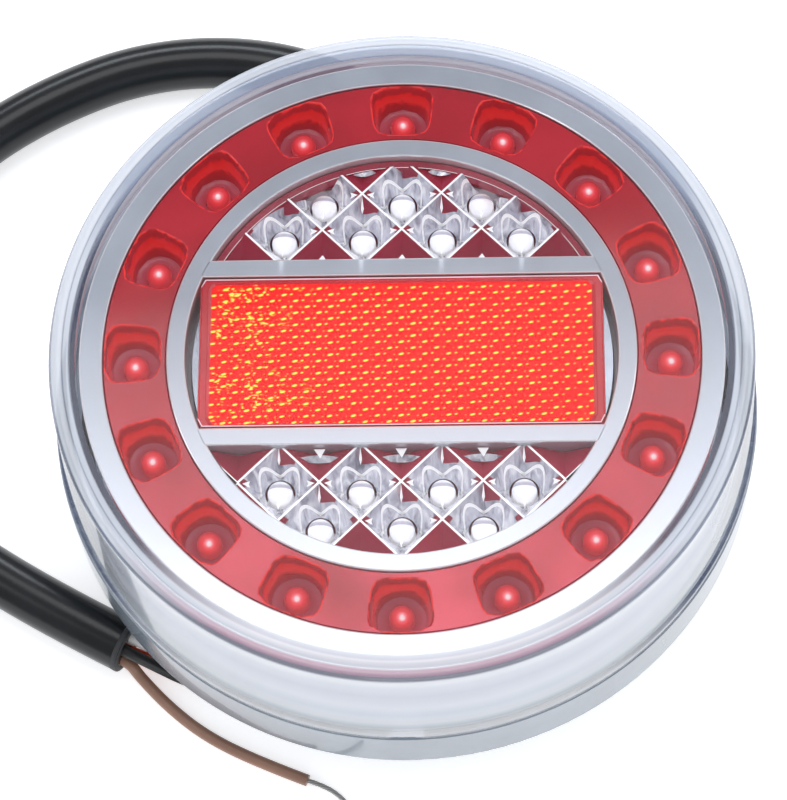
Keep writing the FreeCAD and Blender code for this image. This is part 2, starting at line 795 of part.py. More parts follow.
# each core: its place round the jacket's cut end in degrees, then its way over the ground
coreRoutes = {
    "brown": (-18, [
        (-54.2, -48.7, 2.2), (-48.2, -54.9, coreRest), (-40.6, -61.0, coreRest), (-30.3, -66.3, coreRest),
        (-20.2, -70.3, coreRest),
    ]),
    "black": (54, [
        (-51.9, -46.9, 5.4), (-44.6, -49.8, 2.2), (-35.4, -52.3, coreRest), (-24.8, -53.5, coreRest),
        (-14.0, -52.6, coreRest),
    ]),
    "white": (126, [
        (-50.9, -44.3, 6.3), (-43.0, -45.4, 3.4), (-33.2, -45.7, coreRest), (-22.2, -44.4, coreRest),
        (-11.6, -41.2, coreRest),
    ]),
    "yellow": (198, [
        (-50.1, -42.0, 4.0), (-41.9, -41.4, 2.0), (-32.4, -39.3, coreRest), (-22.4, -35.0, coreRest),
        (-13.4, -28.7, coreRest),
    ]),
    "red": (270, [
        (-50.6, -44.9, 1.5), (-43.0, -47.2, coreRest), (-34.0, -48.8, coreRest), (-23.6, -48.9, coreRest),
        (-13.0, -46.8, coreRest),
    ]),
}

wireRoutes = {
    "brown": [(-16.9, -71.3, 0.9), (-13.2, -73.8, 0.6), (-11.0, -76.6, wireRest)],
    "black": [(-10.2, -52.0, 0.9), (-6.5, -50.6, 0.6), (-3.2, -48.4, wireRest)],
    "white": [(-8.0, -39.9, 0.9), (-4.5, -38.0, 0.6), (-1.5, -35.5, wireRest)],
    "yellow": [(-10.3, -26.3, 0.9), (-7.6, -23.5, 0.6), (-5.5, -20.2, wireRest)],
    "red": [(-9.3, -45.9, 0.9), (-5.7, -44.4, 0.6), (-2.4, -42.2, wireRest)],
}

jacketEnd = FreeCAD.Vector(*jacketRoute[-1])
jacketHeading = (jacketEnd - FreeCAD.Vector(*jacketRoute[-2])).normalize()
jacketSide = jacketHeading.cross(FreeCAD.Vector(0, 0, 1))


def core_exit(degrees, ahead):
    """A point of a core's axis this far ahead of the jacket's cut end."""
    turn = math.radians(degrees)
    ring = sizes["CoreRing"]
    point = jacketEnd + jacketHeading * ahead + jacketSide * (ring * math.cos(turn))
    return (point.x, point.y, point.z + ring * math.sin(turn))


def cable_jacket():
    """The jacket, hollow for a short way at its cut end where the cores come out."""
    body = free_cord("cable_run", jacketRoute, sizes["CableRadius"])
    hollow = Part.makeCylinder(sizes["JacketBore"], sizes["JacketHollow"], jacketEnd, -jacketHeading)
    made = doc.addObject("Part::Feature", "cable_jacket")
    made.Shape = body.Shape.cut(hollow)
    made.Label = "cable_jacket"
    return made


parts = [
    rear_housing(), clear_outer_lens(), lens_seal(),
    outer_bezel(), inner_frame(), red_ring_lens(), carrier_ring(), light_baffle(),
    window_optic("upper_window_optic", 1), window_optic("lower_window_optic", -1),
    reflex_reflector(), reflector_backing(), reflector_tray(),
    led_board(), ring_lights(), window_lights_group("upper_window_lights", 1),
    window_lights_group("lower_window_lights", -1),
    grid_of_blocks("series_resistors", resistorRows, "Resistor"),
    grid_of_blocks("protection_diodes", diodeRows, "Diode"),
    grid_of_blocks("driver_chips", chipRows, "Chip"),
    smoothing_capacitors(), board_screws(),
    mounting_studs(), cable_grommet(), sealing_resin(), vent_membrane(), board_leads(), lead_solder(),
    cable_jacket(),
]
for colour, (degrees, route) in coreRoutes.items():
    points = [core_exit(degrees, -sizes["JacketHollow"]), core_exit(degrees, 1.5)] + route
    parts.append(free_cord(f"core_{colour}", points, sizes["CoreRadius"]))
    parts.append(free_cord(f"bare_wire_{colour}", [route[-1]] + wireRoutes[colour], sizes["WireRadius"]))

doc.recompute()
for thing in doc.Objects:
    if any(word in ("Invalid", "Error") for word in thing.State):
        raise RuntimeError(f"{thing.Name} is {thing.State}")
os.makedirs("parts", exist_ok=True)
for part in parts:
    shape = part.Shape
    if shape.isNull() or not shape.isValid() or not shape.Solids:
        raise RuntimeError(f"{part.Label} has no valid solid")
    print(f"{part.Label:24s} solids {len(shape.Solids):3d}  volume {shape.Volume / 1000:8.3f} cm3")
    shape.exportStep(f"parts/{part.Label}.step")
print(len(parts), "sub-parts")
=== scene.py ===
import math

import bmesh
import bpy
from mathutils import Matrix, Vector


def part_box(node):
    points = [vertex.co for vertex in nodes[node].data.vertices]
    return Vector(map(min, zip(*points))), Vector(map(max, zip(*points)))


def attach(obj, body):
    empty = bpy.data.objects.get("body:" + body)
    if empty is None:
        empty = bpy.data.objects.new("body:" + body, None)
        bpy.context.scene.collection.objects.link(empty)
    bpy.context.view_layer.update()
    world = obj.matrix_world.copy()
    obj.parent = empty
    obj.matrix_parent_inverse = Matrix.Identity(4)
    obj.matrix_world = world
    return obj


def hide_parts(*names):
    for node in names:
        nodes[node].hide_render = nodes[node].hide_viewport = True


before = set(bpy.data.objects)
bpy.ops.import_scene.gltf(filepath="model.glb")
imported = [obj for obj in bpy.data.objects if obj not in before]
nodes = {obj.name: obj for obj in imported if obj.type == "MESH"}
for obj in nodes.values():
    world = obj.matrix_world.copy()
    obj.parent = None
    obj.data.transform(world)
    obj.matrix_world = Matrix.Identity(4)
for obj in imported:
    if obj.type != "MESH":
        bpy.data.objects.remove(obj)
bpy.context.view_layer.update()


# The lamp lies face up, seen from in front and above. Metres throughout.
look = {
    "target": (-0.0014, -0.0110, 0.0546),
    "distance": 0.6492,
    "elevation": 66.9,
    "azimuth": -5.0,
    "roll": -5.26,
    "lens": 155.5,
}


def makeCamera():
    up, turn, roll = (math.radians(look[k]) for k in ("elevation", "azimuth", "roll"))
    ahead = Vector((math.cos(up) * math.sin(turn), math.cos(up) * math.cos(turn), -math.sin(up)))
    level = ahead.cross(Vector((0, 0, 1))).normalized()
    upright = level.cross(ahead)
    across = math.cos(roll) * level + math.sin(roll) * upright
    above = -math.sin(roll) * level + math.cos(roll) * upright
    spot = Vector(look["target"]) - ahead * look["distance"]
    camera = bpy.data.cameras.new("camera")
    camera.sensor_fit = "HORIZONTAL"
    camera.sensor_width = 36
    camera.lens = look["lens"]
    camera.clip_start = 0.01
    seat = bpy.data.objects.new("camera", camera)
    turned = Matrix((across, above, -ahead)).transposed().to_4x4()
    seat.matrix_world = Matrix.Translation(spot) @ turned
    bpy.context.collection.objects.link(seat)
    bpy.context.scene.camera = seat


# each panel: place, the point it faces, width, height, watts, colour
panels = {
    "topPanel": ((-0.03, 0.22, 1.0), (0, 0.02, 0.05), 0.62, 0.44, 1.9, (1, 1, 1)),
    "leftPanel": ((-0.9, -0.1, 0.7), (0, 0, 0.03), 0.7, 0.7, 2.2, (0.95, 0.98, 1)),
    "rightPanel": ((0.9, 0.1, 0.6), (0, 0, 0.03), 0.6, 0.8, 2.0, (1, 1, 1)),
    "frontPanel": ((0.25, -0.95, 0.5), (0, 0, 0.03), 0.9, 0.5, 1.8, (1, 1, 1)),
    "backPanel": ((0.0, 1.0, 0.75), (0, 0, 0.03), 1.0, 0.25, 4.6, (0.90, 0.95, 1)),
}
surround = {"colour": (0.93, 0.95, 1, 1), "strength": 0.50}


def makePanels():
    for name, (place, aim, wide, tall, power, colour) in panels.items():
        source = bpy.data.lights.new(name, "AREA")
        source.shape = "RECTANGLE"
        source.size = wide
        source.size_y = tall
        source.energy = power
        source.color = colour
        panel = bpy.data.objects.new(name, source)
        panel.location = place
        panel.rotation_euler = (Vector(aim) - Vector(place)).to_track_quat("-Z", "Y").to_euler()
        bpy.context.collection.objects.link(panel)
    world = bpy.data.worlds.new("studio")
    world.use_nodes = True
    sky = world.node_tree.nodes["Background"]
    sky.inputs["Color"].default_value = surround["colour"]
    sky.inputs["Strength"].default_value = surround["strength"]
    bpy.context.scene.world = world


def newMaterial(name):
    material = bpy.data.materials.new(name)
    material.use_nodes = True
    tree = material.node_tree
    return material, tree, tree.nodes["Principled BSDF"]


def addNode(tree, kind, **settings):
    node = tree.nodes.new(kind)
    for key, value in settings.items():
        if key in node.inputs:
            node.inputs[key].default_value = value
        else:
            setattr(node, key, value)
    return node


def ramp(tree, source, stops):
    node = tree.nodes.new("ShaderNodeValToRGB")
    marks = node.color_ramp.elements
    while len(marks) < len(stops):
        marks.new(0.5)
    for mark, (place, colour) in zip(marks, stops):
        mark.position = place
        mark.color = (*colour, 1)
    tree.links.new(source, node.inputs["Fac"])
    return node


def grainGroup():
    # shared fine surface grain: object coordinates in, a height and a patchy value out
    group = bpy.data.node_groups.new("surfaceGrain", "ShaderNodeTree")
    face = group.interface
    face.new_socket("Scale", in_out="INPUT", socket_type="NodeSocketFloat").default_value = 900
    face.new_socket("Height", in_out="OUTPUT", socket_type="NodeSocketFloat")
    face.new_socket("Patches", in_out="OUTPUT", socket_type="NodeSocketFloat")
    start = group.nodes.new("NodeGroupInput")
    end = group.nodes.new("NodeGroupOutput")
    place = group.nodes.new("ShaderNodeTexCoord")
    fine = addNode(group, "ShaderNodeTexNoise", Detail=3.0, Roughness=0.6)
    wide = addNode(group, "ShaderNodeTexNoise", Scale=60.0, Detail=4.0, Roughness=0.55)
    group.links.new(place.outputs["Object"], fine.inputs["Vector"])
    group.links.new(place.outputs["Object"], wide.inputs["Vector"])
    group.links.new(start.outputs["Scale"], fine.inputs["Scale"])
    group.links.new(fine.outputs["Fac"], end.inputs["Height"])
    group.links.new(wide.outputs["Fac"], end.inputs["Patches"])
    return group


grain = grainGroup()


def plainMaterial(name, colour, rough=0.4, metal=0.0, spread=0.06, bump=0.1, scale=900, **more):
    # a moulded or metal finish with slight variation of colour and roughness and a fine bump
    material, tree, shader = newMaterial(name)
    source = tree.nodes.new("ShaderNodeGroup")
    source.node_tree = grain
    source.inputs["Scale"].default_value = scale
    dark = tuple(max(0, c * (1 - spread)) for c in colour)
    pale = tuple(min(1, c * (1 + spread)) for c in colour)
    tone = ramp(tree, source.outputs["Patches"], [(0.35, dark), (0.65, pale)])
    tree.links.new(tone.outputs["Color"], shader.inputs["Base Color"])
    sheen = addNode(tree, "ShaderNodeMapRange")
    sheen.inputs["To Min"].default_value = max(0.02, rough - 0.05)
    sheen.inputs["To Max"].default_value = rough + 0.05
    tree.links.new(source.outputs["Patches"], sheen.inputs["Value"])
    tree.links.new(sheen.outputs["Result"], shader.inputs["Roughness"])
    relief = addNode(tree, "ShaderNodeBump", Strength=bump, Distance=0.0001)
    tree.links.new(source.outputs["Height"], relief.inputs["Height"])
    tree.links.new(relief.outputs["Normal"], shader.inputs["Normal"])
    shader.inputs["Metallic"].default_value = metal
    for key, value in more.items():
        shader.inputs[key.replace("_", " ")].default_value = value
    return material


def thinClear(name, tint, gloss, rough):
    # thin clear plastic: see-through, with a gloss that grows towards grazing
    material, tree, shader = newMaterial(name)
    tree.nodes.remove(shader)
    clear = addNode(tree, "ShaderNodeBsdfTransparent", Color=(*tint, 1))
    shine = addNode(tree, "ShaderNodeBsdfGlossy", Roughness=rough)
    fresnel = addNode(tree, "ShaderNodeFresnel", IOR=gloss)
    film = tree.nodes.new("ShaderNodeMixShader")
    tree.links.new(fresnel.outputs["Fac"], film.inputs["Fac"])
    tree.links.new(clear.outputs["BSDF"], film.inputs[1])
    tree.links.new(shine.outputs["BSDF"], film.inputs[2])
    path = tree.nodes.new("ShaderNodeLightPath")
    choose = tree.nodes.new("ShaderNodeMixShader")
    tree.links.new(path.outputs["Is Shadow Ray"], choose.inputs["Fac"])
    tree.links.new(film.outputs["Shader"], choose.inputs[1])
    tree.links.new(clear.outputs["BSDF"], choose.inputs[2])
    tree.links.new(choose.outputs["Shader"], tree.nodes["Material Output"].inputs["Surface"])
    return material


def finishMesh(name, mesh, materials, smooth=True, body="root"):
    bmesh.ops.recalc_face_normals(mesh, faces=mesh.faces)
    data = bpy.data.meshes.new(name)
    mesh.to_mesh(data)
    mesh.free()
    for material in materials:
        data.materials.append(material)
    if smooth:
        data.shade_smooth()
    piece = bpy.data.objects.new(name, data)
    bpy.context.collection.objects.link(piece)
    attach(piece, body)
    return piece


def sharpen(mesh, degrees):
    mesh.normal_update()
    for edge in mesh.edges:
        if len(edge.link_faces) == 2 and edge.calc_face_angle(0) > math.radians(degrees):
            edge.smooth = False


def spinProfile(mesh, points, steps=144, closed=True, material=0):
    # turn an outline of (radius, height) points, in millimetres, about the lamp's axis
    verts = [mesh.verts.new((r / 1000, 0, z / 1000)) for r, z in points]
    count = len(verts)
    last = count if closed else count - 1
    edges = [mesh.edges.new((verts[k], verts[(k + 1) % count])) for k in range(last)]
    before = set(mesh.faces)
    bmesh.ops.spin(mesh, geom=verts + edges, cent=(0, 0, 0), axis=(0, 0, 1), angle=math.tau, steps=steps,
                   use_merge=True)
    made = [face for face in mesh.faces if face not in before]
    for face in made:
        face.material_index = material
    return made


def rounded(points, radius=0.25, segments=2, keep=()):
    # round the corners of a closed outline, leaving out those numbered in keep
    result = []
    count = len(points)
    for k, (x, z) in enumerate(points):
        here = Vector((x, z))
        back = Vector(points[k - 1]) - here
        ahead = Vector(points[(k + 1) % count]) - here
        reach = min(radius, 0.45 * back.length, 0.45 * ahead.length)
        if k in keep or reach < 0.01:
            result.append((x, z))
            continue
        start = here + back.normalized() * reach
        end = here + ahead.normalized() * reach
        for step in range(segments + 1):
            t = step / segments
            spot = start * (1 - t) ** 2 + here * 2 * t * (1 - t) + end * t * t
            result.append((spot.x, spot.y))
    return result


def low(node):
    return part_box(node)[0]


def high(node):
    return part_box(node)[1]


cable = {
    "jacket": 0.0055,
    "core": 0.0012,
    "coreRing": 0.0026,         # circle of the cores inside the jacket
    "hollow": 0.003,            # depth from which the cores leave the cut end
    "rest": 0.0056,             # height of the jacket's line over the ground
    "top": 0.0335,              # where the jacket starts inside the lamp
    "strand": 0.00017,          # one of the fine strands in a bare end
    "strandRing": 0.00033,      # circle of the outer strands
    "strands": 6,               # round the middle one
    "twist": 2.4,               # half turns of a bare end
}

# the lead's way over the ground, from below the point where it drops out of the lamp
groundRoute = [
    (0.019, 0.010), (0.019, 0.037), (0.0102, 0.0615), (-0.0078, 0.0804), (-0.031, 0.0896), (-0.0565, 0.0893),
    (-0.0795, 0.0796), (-0.0978, 0.066), (-0.1113, 0.0435), (-0.1146, 0.0174), (-0.1065, -0.0075),
    (-0.089, -0.0264), (-0.0564, -0.0435),
]
jacketRoute = [(*groundRoute[0], cable["top"])] + [(x, y, cable["rest"]) for x, y in groundRoute]

# each core: its place round the cut end in degrees, its way over the ground, and its bare wire's way
coreRoutes = {
    "brown": (-18, [
        (-0.0542, -0.0487, 0.0022), (-0.0482, -0.0549, 0.0012), (-0.0406, -0.0610, 0.0012),
        (-0.0303, -0.0663, 0.0012), (-0.0202, -0.0703, 0.0012),
    ], [(-0.0169, -0.0713, 0.0009), (-0.0132, -0.0738, 0.0006), (-0.0110, -0.0766, 0.0005)]),
    "black": (54, [
        (-0.0519, -0.0469, 0.0054), (-0.0446, -0.0498, 0.0022), (-0.0354, -0.0523, 0.0012),
        (-0.0248, -0.0535, 0.0012), (-0.0140, -0.0526, 0.0012),
    ], [(-0.0102, -0.0520, 0.0009), (-0.0065, -0.0506, 0.0006), (-0.0032, -0.0484, 0.0005)]),
    "white": (126, [
        (-0.0509, -0.0443, 0.0063), (-0.0430, -0.0454, 0.0034), (-0.0332, -0.0457, 0.0012),
        (-0.0222, -0.0444, 0.0012), (-0.0116, -0.0412, 0.0012),
    ], [(-0.0080, -0.0399, 0.0009), (-0.0045, -0.0380, 0.0006), (-0.0015, -0.0355, 0.0005)]),
    "yellow": (198, [
        (-0.0501, -0.0420, 0.0040), (-0.0419, -0.0414, 0.0020), (-0.0324, -0.0393, 0.0012),
        (-0.0224, -0.0350, 0.0012), (-0.0134, -0.0287, 0.0012),
    ], [(-0.0103, -0.0263, 0.0009), (-0.0076, -0.0235, 0.0006), (-0.0055, -0.0202, 0.0005)]),
    "red": (270, [
        (-0.0506, -0.0449, 0.0015), (-0.0430, -0.0472, 0.0012), (-0.0340, -0.0488, 0.0012),
        (-0.0236, -0.0489, 0.0012), (-0.0130, -0.0468, 0.0012),
    ], [(-0.0093, -0.0459, 0.0009), (-0.0057, -0.0444, 0.0006), (-0.0024, -0.0422, 0.0005)]),
}

coreColours = {
    "brown": (0.33, 0.18, 0.125),
    "black": (0.012, 0.012, 0.013),
    "white": (0.80, 0.80, 0.78),
    "yellow": (0.80, 0.60, 0.03),
    "red": (0.52, 0.02, 0.015),
}


def splineCurve(name, points, radius, material, resolution=8):
    # a smooth cord on a NURBS spline through its route's control points
    curve = bpy.data.curves.new(name, "CURVE")
    curve.dimensions = "3D"
    curve.resolution_u = resolution
    curve.bevel_depth = radius
    curve.bevel_resolution = 6
    curve.use_fill_caps = True
    spline = curve.splines.new("NURBS")
    spline.points.add(len(points) - 1)
    for point, place in zip(spline.points, points):
        point.co = (*place, 1)
    spline.order_u = 3
    spline.use_endpoint_u = True
    curve.materials.append(material)
    piece = bpy.data.objects.new(name, curve)
    bpy.context.collection.objects.link(piece)
    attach(piece, "root")
    return piece


def splineLine(name, points):
    # the line that such a spline follows, as points and its length
    probe = splineCurve(name, points, 0, None)
    mesh = bpy.data.meshes.new_from_object(probe)
    line = [vertex.co.copy() for vertex in mesh.vertices]
    bpy.data.objects.remove(probe)
    return line, sum((b - a).length for a, b in zip(line, line[1:]))


def jacketMaterial():
    # black cable jacket with a satin sheen, a patchy tone and a fine grain
    return plainMaterial("cableJacket", (0.006, 0.0072, 0.0085), rough=0.24, spread=0.35, bump=0.14,
                         scale=1400, Specular_IOR_Level=0.42)


def makeCable():
    jacketEnd = Vector(jacketRoute[-1])
    heading = (jacketEnd - Vector(jacketRoute[-2])).normalized()
    side = heading.cross(Vector((0, 0, 1)))
    swept = splineCurve("cableSweep", jacketRoute, cable["jacket"], jacketMaterial(), 16)
    swept.data.bevel_resolution = 12
    line, length = splineLine("jacketLine", jacketRoute)
    tube = bpy.data.meshes.new_from_object(swept)
    tube.name = "cableRun"
    tube.shade_smooth()
    bpy.data.objects.remove(swept)
    jacket = bpy.data.objects.new("cableRun", tube)
    bpy.context.collection.objects.link(jacket)
    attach(jacket, "root")
    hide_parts("cable_jacket")

    # the cut end: a ring of jacket wall standing a little proud, and a filler between the cores
    collar = bmesh.new()
    turn = heading.to_track_quat("Z", "Y").to_matrix().to_4x4()
    outline = [(5.5, -1.2), (5.55, -0.2), (5.35, 0.12), (4.7, 0.18), (4.15, 0.1), (4.0, -0.3), (3.95, -1.2)]
    spinProfile(collar, outline, steps=48)
    bmesh.ops.transform(collar, matrix=Matrix.Translation(jacketEnd) @ turn, verts=collar.verts)
    cutWall = plainMaterial("jacketCut", (0.03, 0.031, 0.034), rough=0.6, bump=0.5, scale=2500)
    rim = finishMesh("cableCutEnd", collar, [cutWall])
    filler = bmesh.new()
    bmesh.ops.create_circle(filler, cap_ends=True, segments=40, radius=0.00395)
    bmesh.ops.inset_region(filler, faces=filler.faces, thickness=0.0012, depth=-0.0002)
    seat = Matrix.Translation(jacketEnd + heading * 0.0001) @ turn
    bmesh.ops.transform(filler, matrix=seat, verts=filler.verts)
    packing = plainMaterial("cableFiller", (0.16, 0.15, 0.14), rough=0.85, bump=1.0, scale=3000, spread=0.3)
    plug = finishMesh("cableFiller", filler, [packing])

    copper = plainMaterial("tinnedWire", (0.50, 0.49, 0.47), rough=0.32, metal=0.9, spread=0.2, bump=0.4,
                           scale=2200)
    for colour, (degrees, route, bare) in coreRoutes.items():
        turned = math.radians(degrees)
        rise = Vector((0, 0, cable["coreRing"] * math.sin(turned)))
        out = side * (cable["coreRing"] * math.cos(turned)) + rise
        start = jacketEnd - heading * cable["hollow"] + out
        points = [tuple(start), tuple(jacketEnd + heading * 0.0015 + out)] + route
        skin = plainMaterial("core" + colour.capitalize(), coreColours[colour], rough=0.38, spread=0.12,
                             bump=0.15, scale=1800, Specular_IOR_Level=0.5)
        core = splineCurve("core" + colour.capitalize(), points, cable["core"], skin)
        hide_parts("core_" + colour)
        coreLength = splineLine("coreLine", points)[1]
        wire = makeStrands(colour, [route[-1]] + bare, copper)
    print("cable", round(length, 4))


def makeStrands(colour, points, material):
    # the bare end of a core: seven fine strands twisted together, within its own thickness
    line = splineLine("strandLine", points)[0]
    curve = bpy.data.curves.new("bareWire" + colour.capitalize(), "CURVE")
    curve.dimensions = "3D"
    curve.bevel_depth = cable["strand"]
    curve.bevel_resolution = 2
    curve.use_fill_caps = True
    for strand in range(cable["strands"] + 1):
        spline = curve.splines.new("POLY")
        spline.points.add(len(line) - 1)
        for k, (point, place) in enumerate(zip(spline.points, line)):
            ahead = (line[min(k + 1, len(line) - 1)] - line[max(k - 1, 0)]).normalized()
            across = ahead.cross(Vector((0, 0, 1))).normalized()
            above = across.cross(ahead)
            angle = math.tau * strand / cable["strands"] + cable["twist"] * k / len(line) * math.pi
            reach = cable["strandRing"] if strand < cable["strands"] else 0
            point.co = (*(place + (across * math.cos(angle) + above * math.sin(angle)) * reach), 1)
    curve.materials.append(material)
    piece = bpy.data.objects.new(curve.name, curve)
    bpy.context.collection.objects.link(piece)
    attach(piece, "root")
    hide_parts("bare_wire_" + colour)
    return piece


shell = {
    "rim": 68.0,
    "wall": 3.2,
    "face": 2.2,
    "flange": 69.8,
    "foot": 26.5,
    "top": 56.0,
    "bead": 28.7,
    "edgeRound": 1.6,
    "notchHalf": 2.3,
    "notchHigh": 0.9,
    "lip": 62.8,                # where the flat window meets the thick rim
    "paintedBandShare": 0.64,               # how much of the clear wall shows as painted bands rather than being seen through
    "bands": (0.0625, 0.0685),  # radii that the painted bands on top lie between
    "topSlope": (0.15, 0.45),   # where the bands of the side give way to those on top
    "nearBands": (-0.040, -0.058),
    "farBands": (0.018, 0.036),
    # painted shade on walls seen edge on sets in along Y between these
    "darkEdge": (-0.055, -0.030),
}


def calc(tree, operation, first, second=0.0):
    node = addNode(tree, "ShaderNodeMath", operation=operation)
    for socket, value in zip(node.inputs, (first, second)):
        if isinstance(value, (int, float)):
            socket.default_value = value
        else:
            tree.links.new(value, socket)
    return node.outputs[0]


def share(tree, value, start, end):
    node = addNode(tree, "ShaderNodeMapRange")
    node.inputs["From Min"].default_value = start
    node.inputs["From Max"].default_value = end
    tree.links.new(value, node.inputs["Value"])
    return node.outputs["Result"]


def blendColour(tree, factor, first, second):
    node = addNode(tree, "ShaderNodeMix", data_type="RGBA")
    tree.links.new(factor, node.inputs["Factor"])
    for socket, value in ((node.inputs[6], first), (node.inputs[7], second)):
        if isinstance(value, tuple):
            socket.default_value = (*value, 1)
        else:
            tree.links.new(value, socket)
    return node.outputs[2]


def skirtMaterial(heights):
    # thick clear plastic: what is bent through its wall shows as painted bands of reflection and shade, by
    # height on the side and by radius on top, where the far, middle and near parts of the rim have sets of
    # their own
    material, tree, shader = newMaterial("clearSkirt")
    place = tree.nodes.new("ShaderNodeTexCoord")
    spot = tree.nodes.new("ShaderNodeSeparateXYZ")
    facing = tree.nodes.new("ShaderNodeSeparateXYZ")
    tree.links.new(place.outputs["Object"], spot.inputs["Vector"])
    tree.links.new(place.outputs["Normal"], facing.inputs["Vector"])
    x, y, z = (spot.outputs[k] for k in "XYZ")
    radius = calc(tree, "SQRT", calc(tree, "ADD", calc(tree, "MULTIPLY", x, x), calc(tree, "MULTIPLY", y, y)))
    heightShare = share(tree, z, shell["foot"] / 1000, shell["top"] / 1000)
    side = ramp(tree, heightShare, heights)
    out = share(tree, radius, *shell["bands"])
    bright, slate = (0.76, 0.80, 0.88), (0.12, 0.15, 0.24)
    bands = ramp(tree, out, [
        (0.0, (0.022, 0.026, 0.06)), (0.23, (0.03, 0.034, 0.075)), (0.29, bright), (0.42, bright),
        (0.46, (0.34, 0.37, 0.45)), (0.51, bright), (0.80, (0.82, 0.86, 0.93)), (0.85, slate), (0.97, slate),
    ])
    cool = ramp(tree, out, [
        (0.0, (0.10, 0.11, 0.17)), (0.14, (0.28, 0.33, 0.44)), (0.42, (0.32, 0.39, 0.52)),
        (0.46, (0.20, 0.23, 0.30)), (0.51, (0.74, 0.79, 0.87)), (0.80, (0.80, 0.84, 0.92)), (0.85, slate),
        (0.97, slate),
    ])
    bare = ramp(tree, out, [
        (0.0, (0.84, 0.87, 0.93)), (0.20, (0.70, 0.73, 0.80)), (0.26, (0.92, 0.94, 0.97)),
        (0.44, (0.70, 0.74, 0.80)), (0.50, (0.92, 0.94, 0.97)), (0.58, (0.62, 0.34, 0.42)),
        (0.74, (0.42, 0.20, 0.27)), (0.80, (0.10, 0.09, 0.12)), (0.86, (0.12, 0.11, 0.14)),
        (0.91, (0.94, 0.95, 0.97)),
    ])
    near = share(tree, y, *shell["nearBands"])
    far = share(tree, y, *shell["farBands"])
    onTop = blendColour(tree, near, blendColour(tree, far, bands.outputs["Color"], cool.outputs["Color"]),
                        bare.outputs["Color"])
    up = share(tree, facing.outputs["Z"], *shell["topSlope"])
    whole = blendColour(tree, up, side.outputs["Color"], onTop)
    # painted shade: the wall darkens where it is seen edge on
    edge = addNode(tree, "ShaderNodeLayerWeight", Blend=0.5)
    rim = ramp(tree, edge.outputs["Facing"], [(0.88, (0, 0, 0)), (0.97, (1, 1, 1))])
    away = calc(tree, "MULTIPLY", rim.outputs["Color"], share(tree, y, *shell["darkEdge"]))
    tree.links.new(blendColour(tree, away, whole, slate), shader.inputs["Base Color"])
    shader.inputs["Roughness"].default_value = 0.09
    shader.inputs["Coat Weight"].default_value = 0.6
    shader.inputs["Coat Roughness"].default_value = 0.03
    clear = addNode(tree, "ShaderNodeBsdfTransparent", Color=(0.97, 0.98, 1, 1))
    mixed = addNode(tree, "ShaderNodeMixShader", Fac=shell["paintedBandShare"])
    tree.links.new(clear.outputs["BSDF"], mixed.inputs[1])
    tree.links.new(shader.outputs["BSDF"], mixed.inputs[2])
    path = tree.nodes.new("ShaderNodeLightPath")
    choose = tree.nodes.new("ShaderNodeMixShader")
    tree.links.new(path.outputs["Is Shadow Ray"], choose.inputs["Fac"])
    tree.links.new(mixed.outputs["Shader"], choose.inputs[1])
    tree.links.new(clear.outputs["BSDF"], choose.inputs[2])
    tree.links.new(choose.outputs["Shader"], tree.nodes["Material Output"].inputs["Surface"])
    return material


def makeOuterLens():
    rim, wall, top, foot, flange = (shell[k] for k in ("rim", "wall", "top", "foot", "flange"))
    under = top - shell["face"]
    bend = shell["edgeRound"]
    corner = [(rim - bend * (1 - math.sin(a)), top - bend * (1 - math.cos(a)))
              for a in (math.radians(10 * k) for k in range(10))]
    outline = corner + [
        (flange - 0.72, shell["bead"] + 0.75), (flange - 0.2, shell["bead"] + 0.45), (flange, shell["bead"]),
        (flange, foot + 0.25), (flange - 0.2, foot), (flange - wall + 0.2, foot), (flange - wall, foot + 0.2),
        (flange - wall, foot + 3.8), (rim - wall + 0.05, under - 1.1), (rim - wall - 0.25, under - 0.35),
        (shell["lip"], under), (shell["lip"], top), (shell["lip"] + 0.5, top),
        (65.2, top), (65.4, top - 0.1), (65.6, top),
    ]
    mesh = bmesh.new()
    spinProfile(mesh, outline, steps=240, material=1)
    for vertex in mesh.verts:
        x, y, z = vertex.co * 1000
        atEdge = z < foot + 0.3 and vertex.co.xy.length * 1000 > flange - 1.0
        if y < 0 and abs(x) < shell["notchHalf"] and atEdge:
            vertex.co.z += shell["notchHigh"] / 1000
    sharpen(mesh, 50)
    # painted reflection and shade: the clear side wall's bands by height
    body = [
        (0.0, (0.95, 0.97, 0.98)), (0.06, (0.74, 0.77, 0.82)), (0.10, (0.98, 0.99, 1.0)),
        (0.15, (0.62, 0.70, 0.78)), (0.23, (0.86, 0.92, 0.97)), (0.38, (0.72, 0.77, 0.85)),
        (0.52, (0.80, 0.82, 0.88)), (0.72, (0.66, 0.69, 0.77)), (0.86, (0.74, 0.76, 0.82)),
        (0.93, (0.90, 0.92, 0.94)), (1.0, (0.95, 0.96, 0.97)),
    ]
    side = skirtMaterial(body)
    window = thinClear("clearFace", (0.985, 0.99, 0.995), 1.36, 0.10)
    skirt = finishMesh("clearLensSkirt", mesh, [window, side])
    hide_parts("clear_outer_lens")

    plate = bmesh.new()
    edge = shell["lip"]
    for kind, level in enumerate((top, under)):
        rings = [edge * part for part in (1.0, 0.75, 0.5, 0.25)]
        spinProfile(plate, [(r, level) for r in rings], steps=96, closed=False, material=kind)
    bmesh.ops.remove_doubles(plate, verts=plate.verts, dist=1e-6)
    middle = [e for e in plate.edges if e.is_boundary and e.verts[0].co.xy.length < 0.02]
    bmesh.ops.holes_fill(plate, edges=middle, sides=0)
    for patch in plate.faces:
        patch.material_index = 0 if patch.calc_center_median().z * 1000 > top - 0.5 else 1
    inside = thinClear("clearFaceInside", (0.99, 0.99, 0.995), 1.06, 0.2)
    face = finishMesh("clearLensFace", plate, [window, inside], smooth=False)
    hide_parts("clear_outer_lens")


